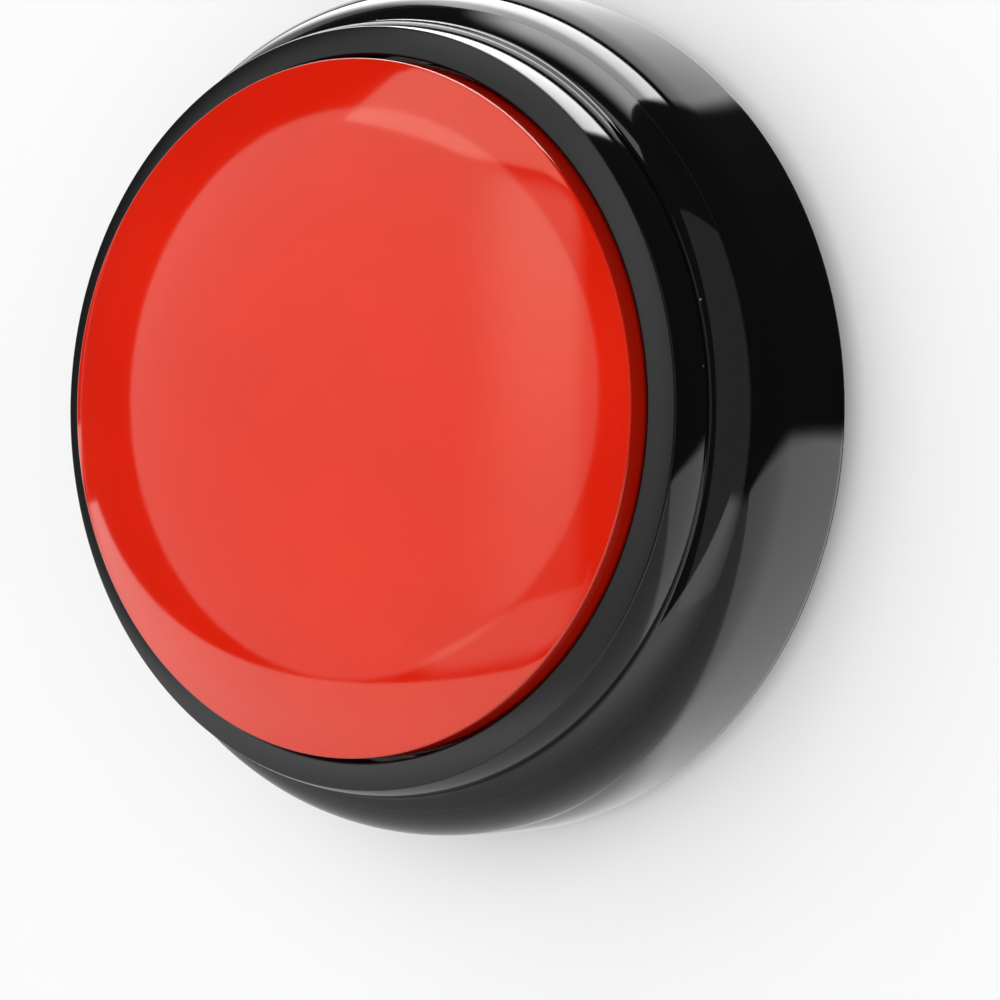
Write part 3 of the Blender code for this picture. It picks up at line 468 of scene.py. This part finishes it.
def domeOf(size):
    slope = math.atan(size["power"] * size["rise"] / (size["radius"] - size["edge"] / 2))
    outer = size["radius"] - size["edge"] + size["edge"] * math.sin(slope)
    foot = size["sideZ"] + size["edge"] * math.cos(slope)
    return slope, outer, foot + size["rise"]


def domeHeight(size, radius):
    slope, outer, top = domeOf(size)
    return top - size["rise"] * (radius / outer) ** size["power"]


def capSection(size):
    slope, outer, top = domeOf(size)
    line = [(outer * step / 40, domeHeight(size, outer * step / 40)) for step in range(41)]
    line += arcPoints(size["radius"] - size["edge"], size["sideZ"], size["edge"], 90 - math.degrees(slope), 0, 10)[1:]
    line += arcPoints(size["radius"] - 0.0003, size["skirtZ"] + 0.0003, 0.0003, 0, -90, 4)
    inside = size["radius"] - size["wall"]
    line += [(inside, size["skirtZ"])]
    for step in range(21):
        radius = inside * (1 - step / 20)
        line.append((radius, domeHeight(size, radius * outer / (inside + size["edge"])) - size["wall"]))
    return line


capShell = makeObject("capShell", spinProfile(capSection(cap), cap["steps"]))
legs = bmesh.new()
for angle in places["hooks"]:
    near, far = places["hookCircle"] - 0.0009, places["hookCircle"] + 0.0009
    top = domeHeight(cap, far + 0.0005) - cap["wall"] * 0.4
    nose, barb = cap["barbZ"] - 0.0022, cap["barbZ"]
    side = [(near, top), (near, nose), (far, nose), (far + 0.0013, nose + 0.00147), (far + 0.0013, barb), (far, barb), (far, top)]
    turn = Matrix.Rotation(math.radians(angle), 4, "Z")
    addOutline(legs, [(r, -0.0035, z) for r, z in side], (0, 0.0070, 0), turn)
for x, y in places["springs"]:
    addRod(legs, 0.0035, cap["seatZ"], domeHeight(cap, 0.0195) - cap["wall"] * 0.25, x, y)
addRod(legs, 0.0030, cap["plungerZ"], domeHeight(cap, 0.0) - cap["wall"] * 0.6)
combine(capShell, makeObject("capLegs", legs), "UNION")
tips = bmesh.new()
for x, y in places["springs"]:
    addRod(tips, 0.0018, cap["seatZ"] - 0.0022, cap["seatZ"] + 0.0010, x, y)
combine(capShell, makeObject("capTips", tips), "UNION")
finishPiece(capShell, "button", red, "red_gloss", "button_cap")

# battery door and its opening: a slab with rounded corners and a round lug for the screw
door = {
    "left": -0.02605, "hinge": 0.0, "latch": -0.0238, "lugRadius": 0.0036, "corner": 0.0009, "lowZ": 0.0020, "highZ": 0.0039,
    "inset": 0.0003, "tabSpread": 0.0150, "tabHalf": 0.0030, "soft": 0.00015,
}


def doorSlab(size, grow, low, high):
    left = size["left"] - grow
    hinge, latch, lug = size["hinge"] + grow, size["latch"] - grow, size["lugRadius"] + grow
    line = [(left, hinge), (left, latch), (-lug, latch)]
    line += [(x, places["lug"][1] + y) for x, y in arcPoints(0.0, 0.0, lug, 180, 360, 28)]
    line += [(lug, latch), (-left, latch), (-left, hinge)]
    slab = bmesh.new()
    addOutline(slab, [(x, y, low) for x, y in line], (0, 0, high - low))
    corners = [edge for edge in slab.edges if edge.calc_length() > 0.0 and abs(edge.verts[0].co.x) > -left - 0.00001]
    corners = [edge for edge in corners if abs(edge.verts[0].co.z - edge.verts[1].co.z) > 0.5 * (high - low)]
    bmesh.ops.bevel(
        slab, geom=corners, offset=size["corner"], affect="EDGES", segments=6, profile=0.5, material=-1)
    return slab


doorPlate = makeObject("doorPlate", doorSlab(door, -door["inset"], door["lowZ"], door["highZ"]))
tabs = bmesh.new()
for x in (-door["tabSpread"], door["tabSpread"]):
    side = [(-0.0018, 0.0033), (-0.0006, 0.0033), (-0.0006, 0.0045), (0.0014, 0.0045), (0.0014, 0.0056), (-0.0018, 0.0056)]
    addOutline(tabs, [(x - door["tabHalf"], y, z) for y, z in side], (2 * door["tabHalf"], 0, 0))
combine(doorPlate, makeObject("doorTabs", tabs), "UNION")
for radius, low, high in ((0.0023, 0.0010, 0.0033), (0.0013, 0.0010, 0.0042)):
    bore = bmesh.new()
    addRod(bore, radius, low, high, *places["lug"], steps=40)
    combine(doorPlate, makeObject("doorBore", bore), "DIFFERENCE")
softenEdges(doorPlate, door["soft"])
finishPiece(doorPlate, "door", satin, "black_satin", "battery_door")

# base plate: disc with the battery box, the speaker ring, the grille and the screw pads
base = {
    "radius": 0.04175, "lowZ": 0.0020, "highZ": 0.0042, "midZ": 0.0031, "boxX": 0.02685, "boxLow": -0.0246, "boxHigh": 0.0008,
    "roofZ": 0.0163, "cavityX": 0.02525, "cavityHalf": 0.0111, "boxMid": -0.0119, "cellZ": 0.00975, "cradle": 0.00555,
    "speakerY": 0.0205, "ringInner": 0.0163, "ringOuter": 0.0175, "ringZ": 0.0062, "padZ": 0.0061, "seatZ": 0.0047,
    "recessZ": 0.0028, "hole": 0.0010, "pitch": 0.0042, "soft": 0.00012,
}
disc = bmesh.new()
addRod(disc, base["radius"], base["lowZ"], base["highZ"], steps=128)
plate = makeObject("basePlate", disc)
box = bmesh.new()
addBlock(box, (-base["boxX"], base["boxLow"], base["midZ"]), (base["boxX"], base["boxHigh"], base["roofZ"]))
combine(plate, makeObject("plateBox", box), "UNION")
pads = bmesh.new()
for x, y in places["screws"]:
    addRod(pads, 0.0040, base["midZ"], base["padZ"], x, y)
addRod(pads, 0.0048, base["midZ"], 0.0086, *places["lug"])
combine(plate, makeObject("platePads", pads), "UNION")
ring = bmesh.new()
addRod(ring, base["ringOuter"], base["midZ"], base["ringZ"], 0.0, base["speakerY"], 72)
combine(plate, makeObject("plateRing", ring), "UNION")
seat = bmesh.new()
addRod(seat, base["ringInner"], base["highZ"], base["padZ"] + 0.001, 0.0, base["speakerY"], 72)
combine(plate, makeObject("plateSeat", seat), "DIFFERENCE")
clips = bmesh.new()
for angle in (-30.0, 90.0, 210.0):
    side = [(0.0153, 0.0056), (0.0169, 0.0056), (0.0169, 0.0068), (0.01597, 0.0068)]
    turn = Matrix.Translation((0.0, base["speakerY"], 0.0)) @ Matrix.Rotation(math.radians(angle), 4, "Z")
    addOutline(clips, [(r, -0.0020, z) for r, z in side], (0, 0.0040, 0), turn)
combine(plate, makeObject("plateClips", clips), "UNION")
cavity = [(base["cavityHalf"], 0.0010), (base["cavityHalf"], base["cellZ"])]
for centre, start, end in ((base["cradle"], 0, 150), (-base["cradle"], 30, 180)):
    cavity += arcPoints(centre, base["cellZ"], base["cradle"], start, end, 20)
cavity.append((-base["cavityHalf"], 0.0010))
cells = bmesh.new()
addOutline(cells, [(-base["cavityX"], y + base["boxMid"], z) for y, z in cavity], (2 * base["cavityX"], 0, 0))
combine(plate, makeObject("plateCavity", cells), "DIFFERENCE")
combine(plate, makeObject("plateOpening", doorSlab(door, 0.0, 0.0010, base["highZ"])), "DIFFERENCE")
cuts = bmesh.new()
for x, y in places["screws"]:
    addRod(cuts, 0.0043, 0.0010, base["recessZ"], x, y, 40)
addRod(cuts, 0.0016, base["lowZ"], 0.0096, *places["lug"])
for row in range(-2, 3):
    for column in range(-2, 3):
        x = (column + row / 2) * base["pitch"]
        y = row * base["pitch"] * math.sqrt(3) / 2
        if math.hypot(x, y) < 2.1 * base["pitch"]:
            addRod(cuts, base["hole"], 0.0010, base["highZ"] + 0.001, x, base["speakerY"] + y, 24)
for x in (-door["tabSpread"], door["tabSpread"]):
    addBlock(cuts, (x - 0.0034, -0.0013, 0.0039), (x + 0.0034, 0.0018, 0.0069))
for y in places["cells"]:
    addBlock(cuts, (-0.02785, y - 0.0018, 0.0092), (-0.02475, y + 0.0018, 0.0103))
combine(plate, makeObject("plateCuts", cuts), "DIFFERENCE")
for radius, top in ((0.0025, base["seatZ"]), (0.0015, base["padZ"] + 0.001)):
    bores = bmesh.new()
    for x, y in places["screws"]:
        addRod(bores, radius, 0.0010, top, x, y)
    combine(plate, makeObject("plateBores", bores), "DIFFERENCE")
softenEdges(plate, base["soft"])
finishPiece(plate, "case", satin, "black_satin", "base_plate")

# rubber feet
foot = {"radius": 0.0040, "top": 0.0025, "edge": 0.0006, "dish": 0.0002}
for number, (x, y) in enumerate(places["screws"], 1):
    line = [(0.0, foot["top"]), (foot["radius"], foot["top"])]
    line += arcPoints(foot["radius"] - foot["edge"], foot["edge"], foot["edge"], 0, -90, 8)
    line += [(foot["radius"] * 0.62, 0.0), (foot["radius"] * 0.55, foot["dish"]), (0.0, foot["dish"])]
    pad = spinProfile(line, 48)
    bmesh.ops.translate(pad, verts=pad.verts, vec=(x, y, 0.0))
    finishPiece(makeObject("footPad%d" % number, pad), "case", rubber, "rubber", "foot_%d" % number)

# door screw: pan head with a cross recess
screw = {"head": 0.0020, "headHeight": 0.0010, "shank": 0.0010, "lowZ": 0.0020, "length": 0.0044, "thread": 0.00018, "pitch": 0.0006}
top = screw["lowZ"] + screw["headHeight"] + screw["length"]
line = [(0.0, top), (screw["shank"] * 0.25, top - 0.0001), (screw["shank"] - screw["thread"], top - screw["shank"])]
turnCount = int((screw["length"] - screw["shank"]) / screw["pitch"])
for turn in range(turnCount):
    height = top - screw["shank"] - screw["pitch"] * (turn + 0.5)
    line += [(screw["shank"], height), (screw["shank"] - screw["thread"], height - screw["pitch"] / 2)]
under = screw["lowZ"] + screw["headHeight"]
line += [(screw["shank"] - screw["thread"], under), (screw["head"] - 0.0001, under), (screw["head"], under - 0.0001)]
line += arcPoints(screw["head"] - 0.0006, screw["lowZ"] + 0.0006, 0.0006, 0, -90, 6)
line += [(0.0, screw["lowZ"])]
stub = spinProfile(line, 40)
bmesh.ops.translate(stub, verts=stub.verts, vec=(*places["lug"], 0.0))
doorScrew = makeObject("doorScrewHead", stub)
arm, half = screw["head"] * 0.5, screw["head"] * 0.13
for turn in (0.0, 90.0):  # one arm at a time: crossed blocks in one cut leave an empty mesh
    slotCut = bmesh.new()
    spot = Matrix.Translation((*places["lug"], 0.0)) @ Matrix.Rotation(math.radians(turn), 4, "Z")
    addBlock(slotCut, (-arm, -half, 0.0010), (arm, half, screw["lowZ"] + screw["headHeight"] * 0.5), spot)
    combine(doorScrew, makeObject("doorScrewCross", slotCut), "DIFFERENCE")
finishPiece(doorScrew, "door", steel, "steel", "door_screw")
print("underside pieces ready")

# springs, cells and leads that show when the door is open
def addCoil(mesh, radius, wire, stages):
    turned = Matrix.Translation((radius, 0, 0)) @ Matrix.Rotation(math.pi / 2, 4, "X")
    bmesh.ops.create_circle(mesh, cap_ends=True, segments=10, radius=wire / 2, matrix=turned)
    front = mesh.verts[:] + mesh.edges[:]
    for turns, rise, shrink in stages:
        steps = round(turns * 28)
        step = (-shrink / steps, 0.0, rise / steps)
        swept = bmesh.ops.spin(
            mesh, geom=front, cent=(0, 0, 0), axis=(0, 0, 1), dvec=step, angle=math.tau * turns, steps=steps)
        front = [item for item in swept["geom_last"] if not isinstance(item, bmesh.types.BMFace)]
    bmesh.ops.holes_fill(mesh, edges=[item for item in front if isinstance(item, bmesh.types.BMEdge)], sides=0)
    bmesh.ops.recalc_face_normals(mesh, faces=mesh.faces)


spring = {"radius": 0.0026, "wire": 0.0005, "lowZ": 0.02138, "highZ": 0.02924, "footZ": 0.0211, "travel": 0.0030}
for number, (x, y) in enumerate(places["springs"], 1):
    coil = bmesh.new()
    live = spring["highZ"] - spring["lowZ"] - 2 * spring["wire"]
    addCoil(coil, spring["radius"], spring["wire"], [(1, spring["wire"], 0), (3, live, 0), (1, spring["wire"], 0)])
    bmesh.ops.translate(coil, verts=coil.verts, vec=(x, y, spring["lowZ"]))
    piece = finishPiece(makeObject("returnCoil%d" % number, coil), "case", steel, "steel", "return_spring_%d" % number)
    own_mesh(piece)

contact = {"radius": 0.0030, "tip": 0.0018, "wire": 0.0004, "turns": 1.5, "from": 0.02395, "rise": 0.0012, "cellZ": 0.00975}
for number, (side, y) in enumerate(zip((1, -1), places["cells"]), 1):
    coil = bmesh.new()
    addCoil(coil, contact["radius"], contact["wire"], [(contact["turns"], contact["rise"], contact["radius"] - contact["tip"])])
    turn = Matrix.Translation((side * contact["from"], y, contact["cellZ"])) @ Matrix.Rotation(-side * math.pi / 2, 4, "Y")
    bmesh.ops.transform(coil, matrix=turn, verts=coil.verts)
    finishPiece(makeObject("contactCoil%d" % number, coil), "case", nickel, "nickel", "contact_spring_%d" % number)

cell = {"radius": 0.00525, "length": 0.0445, "nub": 0.0019, "nubHeight": 0.0010, "lip": 0.0003, "seam": 0.0009, "cellZ": 0.00975}
for number, (side, y) in enumerate(zip((1, -1), places["cells"]), 1):
    radius, lip = cell["radius"], cell["lip"]
    crown = cell["length"] - cell["nubHeight"]
    line = [(0.0, lip / 2), (radius - 0.0013, lip / 2), (radius - 0.0011, 0.0), (radius - lip, 0.0)]
    line += arcPoints(radius - lip, lip, lip, -60, 0, 5)
    line += [(radius, cell["seam"]), (radius - 0.00006, cell["seam"] + 0.0001), (radius - 0.00006, crown - cell["seam"])]
    line += [(radius, crown - cell["seam"] + 0.0001)] + arcPoints(radius - lip, crown - lip, lip, 0, 90, 6)
    line += [(radius - 0.0008, crown), (radius - 0.0010, crown - lip), (cell["nub"] + 0.0004, crown - lip)]
    line += [(cell["nub"], crown)] + arcPoints(cell["nub"] - lip, cell["length"] - lip, lip, 0, 90, 6)
    can = spinProfile(line + [(0.0, cell["length"])], 64)
    turn = Matrix.Translation((side * cell["length"] / 2, y, cell["cellZ"])) @ Matrix.Rotation(-side * math.pi / 2, 4, "Y")
    bmesh.ops.transform(can, matrix=turn, verts=can.verts)
    finishPiece(makeObject("cell%d" % number, can), "case", jacket, "cell_jacket", "battery_cell_%d" % number)

leads = {
    "radius": 0.0006,
    "speaker_lead_1": [(-4, 28.5, 9), (-4, 28.5, 12), (-4, 23.5, 14.1), (-4, 19.5, 14.8), (-4, 18.5, 16.3)],
    "speaker_lead_2": [(4, 28.5, 9), (4, 28.5, 12), (4, 23.5, 14.1), (4, 19.5, 14.8), (4, 18.5, 16.3)],
    "battery_lead_1": [
        (-28.41, -7.35, 10.9), (-28.41, -3.35, 10.9), (-28.41, 1.8, 11.4), (-24.41, 4.8, 11.9), (-19, 7.5, 12.8), (-17.5, 9, 16.3)],
    "battery_lead_2": [
        (-28.41, -18.45, 10.9), (-28.41, -14.95, 10.9), (-31.91, -10.35, 10.4), (-31.41, -0.35, 9.4), (-22.41, 6.8, 9.9),
        (-18, 12, 12.8), (-16.5, 13, 16.3)],
}


def leadTube(name, points, radius):
    path = bpy.data.curves.new(name, "CURVE")
    path.dimensions = "3D"
    path.bevel_depth = radius
    path.bevel_resolution = 3
    path.use_fill_caps = True
    run = path.splines.new("NURBS")
    run.points.add(len(points) - 1)
    for knot, (x, y, z) in zip(run.points, points):
        knot.co = (x / 1000, y / 1000, z / 1000, 1.0)
    run.order_u = 3
    run.resolution_u = 8
    run.use_endpoint_u = True
    wire = bpy.data.objects.new(name, path)
    scene.collection.objects.link(wire)
    tube = bmesh.new()
    tube.from_mesh(bpy.data.meshes.new_from_object(wire.evaluated_get(bpy.context.evaluated_depsgraph_get())))
    bpy.data.objects.remove(wire, do_unlink=True)
    bmesh.ops.remove_doubles(tube, verts=tube.verts, dist=0.000001)
    return makeObject(name, tube)


for name, sheath, slot in (
        ("speaker_lead_1", redWire, "red_wire"), ("speaker_lead_2", blackWire, "black_wire"),
        ("battery_lead_1", redWire, "red_wire"), ("battery_lead_2", blackWire, "black_wire")):
    words = name.split("_")
    finishPiece(leadTube("%sWire%s" % (words[0], words[2]), leads[name], leads["radius"]), "case", sheath, slot, name)

# solids whose shape is right keep it and take a finish
dressing = [
    (nickel, ["contact_positive", "contact_negative", "contact_bridge"]), (cone, ["speaker_cone"]), (ferrite, ["speaker_magnet"]),
    (board, ["circuit_board"]), (epoxy, ["sound_chip"]), (sleeve, ["capacitor"]), (satin, ["switch_body", "switch_stem"]),
    (steel, ["speaker_frame"] + ["%s_screw_%d" % (kind, number) for kind in ("board", "case") for number in (1, 2, 3, 4)]),
]
for finish, names in dressing:
    for name in names:
        for slot in nodes[name].material_slots:
            slot.material = finish.material
print("inner pieces ready")

# floor, lamps and world
floorLook = {
    "seen": (0.90, 0.90, 0.90), "mirrored": (0.05, 0.05, 0.05), "lift": 0.50, "reach": 3.0, "footprint": 0.039, "contact": 0.05,
    "lowEdge": (-0.0045, -0.0005), "lowSlant": (0.40, 0.0150, 0.0210), "lowDim": (-0.0465, -0.0410, 0.4), "lowGlow": 1.5,
    "lowEnd": (-0.0480, -0.0470), "lowContactShadow": (0.0436, 0.0448),
    "highFrom": (0.010, 0.020), "highSlant": (0.289, -0.023, -0.019), "highEnd": (0.45, -0.02, 0.04), "sideGlow": 0.8, "sideContactShadow": (0.0445, 0.0465), "sideEnd": (0.30, 0.50),
    "nearBand": (0.060, 0.064), "nearGlow": 1.3, "farBand": (0.067, 0.070), "farEnd": (0.46, 0.49), "farDim": (0.085, 0.130, 0.5), "farGlow": 11.0,
}
ground = Finish("floor", floorLook["seen"], 0.9)
ground.feed("Specular IOR Level", 0.0)
rayKinds = ("Is Camera Ray", "Is Glossy Ray", "Is Transmission Ray", "Is Shadow Ray")
rays = {name: ground.node("ShaderNodeLightPath", {}, {}, name) for name in rayKinds}
looking = rays["Is Camera Ray"] + rays["Is Transmission Ray"]
# the camera sees the floor pale, and reflections see it dark grey
tone = ground.blend(looking, floorLook["mirrored"], floorLook["seen"])
ground.feed("Base Color", tone)
across, along = ground.axis("X"), ground.axis("Y")
away = ground.node("ShaderNodeVectorMath", {"operation": "LENGTH"}, {0: ground.place}, "Value")
slant, low, high = floorLook["lowSlant"]
# glowing patches painted on the floor, seen only in reflections; next to the shell's foot they fade to nothing, a
# painted contact shadow in those reflections
lowCard = ground.slide(across, *floorLook["lowEdge"], 1.0, 0.0) * ground.slide(across - slant * along, low, high, 1.0, 0.0)
edge, inner, dim = floorLook["lowDim"]
lowCard = lowCard * ground.slide(across, *floorLook["lowEnd"], 0.0, 1.0) * ground.slide(away, *floorLook["lowContactShadow"], 0.0, 1.0)
lowTone = floorLook["lowGlow"] * ground.slide(across, edge, inner, dim, 1.0)
slant, low, high = floorLook["highSlant"]
highCard = ground.slide(across, *floorLook["highFrom"], 0.0, 1.0) * ground.slide(along + slant * across, low, high, 0.0, 1.0)
slant, low, high = floorLook["highEnd"]
highCard = highCard * ground.slide(along - slant * across, low, high, 1.0, 0.0)
sideCard = ground.slide(across, *floorLook["lowEdge"], 0.0, 1.0) * ground.slide(along - slant * across, low, high, 0.0, 1.0)
# the side patch also fades out next to the shell's foot: a painted contact shadow in reflections
sideCard = sideCard * ground.slide(away, *floorLook["sideContactShadow"], 0.0, 1.0) * ground.slide(away, *floorLook["sideEnd"], 1.0, 0.0)
banded = floorLook["nearGlow"] * ground.slide(away, *floorLook["nearBand"], 1.0, 0.0)
farCard = ground.slide(away, *floorLook["farBand"], 0.0, 1.0) * ground.slide(away, *floorLook["farEnd"], 1.0, 0.0)
edge, inner, dim = floorLook["farDim"]
banded = banded + floorLook["farGlow"] * farCard * ground.slide(away, edge, inner, 1.0, dim)
level = looking + rays["Is Glossy Ray"] * (lowTone * lowCard + highCard * banded + floorLook["sideGlow"] * sideCard)
openness = ground.node("ShaderNodeAmbientOcclusion", {"samples": 6}, {"Distance": floorLook["contact"]}, "AO")
share = looking * openness * floorLook["lift"] + rays["Is Glossy Ray"] * (lowCard + highCard + sideCard)
glow = ground.node("ShaderNodeEmission", {}, {"Color": (1.0, 1.0, 1.0, 1.0), "Strength": level})
clear = ground.node("ShaderNodeBsdfTransparent", {}, {})
under = ground.node("ShaderNodeNewGeometry", {}, {}, "Backfacing")
under = under + (away < floorLook["footprint"]) * (rays["Is Glossy Ray"] + rays["Is Shadow Ray"])  # lets the low lamp in
lit = ground.node("ShaderNodeMixShader", {}, {0: share, 1: Signal(ground, ground.shader.outputs[0]), 2: glow})
shown = ground.node("ShaderNodeMixShader", {}, {0: under, 1: lit, 2: clear})
ground.put(ground.tree.nodes["Material Output"].inputs["Surface"], shown)
floorMesh = bmesh.new()
bmesh.ops.create_grid(floorMesh, x_segments=1, y_segments=1, size=floorLook["reach"])
floor = makeObject("floor", floorMesh)
floor.location.z = -0.0002
floor.data.materials.append(ground.material)

panels = {
    "keyPanel": {
        "place": (0.035, 0.233, 0.47), "face": (-0.03, -0.50, -0.866), "size": (0.72, 0.88), "shape": "ELLIPSE", "glow": 1.15,
        "fades": [("X", -0.10, 0.40, 1.0, 1.35)]},
    "hotPanel": {
        "place": (0.05, 0.03, 0.50), "face": (0.0, 0.0, -1.0), "size": (0.58, 0.26), "glow": 1.4,
        "fades": [
            ("X", -0.24, 0.29, 0.35, 1.0), ("X", 0.29, 0.34, 1.0, 0.0), ("Y", 0.0, 0.15, 1.0, 0.0), ("Y", -0.10, -0.06, 0.0, 1.0)]},
    "stripPanel": {
        "place": (0.50, 0.025, 0.15), "face": (-1.0, 0.0, 0.0), "size": (0.39, 0.30), "glow": 7.0, "diffuse": False,
        "fades": [("Z", 0.06, 0.30, 1.0, 0.0), ("Y", 0.08, 0.22, 1.0, 0.0)]},
    "tableCard": {
        "place": (-0.0470, 0.0, 0.0290), "face": (1.0, 0.0, 0.0), "size": (0.80, 0.058), "glow": 1.8, "diffuse": False,
        "fades": [("Z", 0.015, 0.045, 0.3, 1.0), ("Y", -0.165, -0.130, 0.0, 1.0)]},
    "frontPanel": {
        "place": (0.0, -0.80, 0.45), "face": (0.0, 0.9, -0.4), "size": (1.6, 0.9), "glow": 0.40, "diffuse": False},
    "topPanel": {
        "place": (0.4975, 0.1317, 0.50), "face": (0.0, 0.0, -1.0), "turn": -18.5, "size": (0.30, 0.566), "glow": 2.2,
        "fades": [("X", 0.28, 0.36, 0.25, 1.0)]},
    "lowPanel": {
        "place": (-0.401, 0.0206, 0.50), "face": (0.0, 0.0, -1.0), "turn": 21.3, "size": (0.30, 0.37), "glow": 1.45, "diffuse": False,
        "fades": [("X", -0.37, -0.32, 0.0, 1.0), ("Y", -0.13, -0.03, 0.3, 1.0), ("Y", 0.17, 0.25, 1.0, 0.0)]},
    "fillPanel": {"place": (0.0, -0.55, 0.65), "face": (0.0, 0.646, -0.763), "size": (0.9, 0.9), "glow": 1.6, "glossy": False},
    "lowFill": {"place": (-0.45, 0.0, 0.40), "face": (0.75, 0.0, -0.66), "size": (0.6, 0.5), "glow": 0.7, "glossy": False},
    "underPanel": {"place": (0.1, -0.2, -0.60), "face": (-0.16, 0.32, 0.95), "size": (1.0, 1.0), "glow": 3.5},
}
for name, look in panels.items():
    lampData = bpy.data.lights.new(name, "AREA")
    lampData.shape = look.get("shape", "RECTANGLE")
    lampData.size, lampData.size_y = look["size"]
    area = look["size"][0] * look["size"][1] * (math.pi / 4 if lampData.shape == "ELLIPSE" else 1.0)
    lampData.energy = look["glow"] * math.pi * area
    for axisName, low, high, start, end in look.get("fades", []):
        lampData.use_nodes = True
        shade = Graph(lampData.node_tree)
        glowNode = lampData.node_tree.nodes["Emission"]
        spot = shade.split(shade.node("ShaderNodeNewGeometry", {}, {}, "Position"), axisName)
        fade = shade.slide(spot, low, high, start, end)
        linked = glowNode.inputs["Strength"].links
        if linked:
            fade = fade * Signal(shade, linked[0].from_socket)
        shade.put(glowNode.inputs["Strength"], fade)
    lamp = bpy.data.objects.new(name, lampData)
    lamp.location = look["place"]
    aimed = Vector(look["face"]).to_track_quat("-Z", "Y") @ Quaternion((0, 0, 1), math.radians(look.get("turn", 0.0)))
    lamp.rotation_euler = aimed.to_euler()
    lamp.visible_camera = False
    lamp.visible_diffuse = look.get("diffuse", True)
    lamp.visible_glossy = look.get("glossy", True)
    scene.collection.objects.link(lamp)
world = bpy.data.worlds.new("studio")
world.use_nodes = True
skyLook = {"seen": 0.9, "glow": 0.05}
sky = Graph(world.node_tree)
backdrop = world.node_tree.nodes["Background"]
sky.put(backdrop.inputs["Color"], (1.0, 1.0, 1.0, 1.0))
straight, mirrored = [sky.node("ShaderNodeLightPath", {}, {}, name) for name in ("Is Camera Ray", "Is Glossy Ray")]
downward = sky.split(sky.node("ShaderNodeTexCoord", {}, {}, "Generated"), "Z") < 0.0  # the underside mirrors a pale room
sky.put(backdrop.inputs["Strength"], skyLook["glow"] + (skyLook["seen"] - skyLook["glow"]) * (straight + mirrored * downward))
scene.world = world
scene.view_settings.view_transform = "Standard"
print("floor and lamps ready")
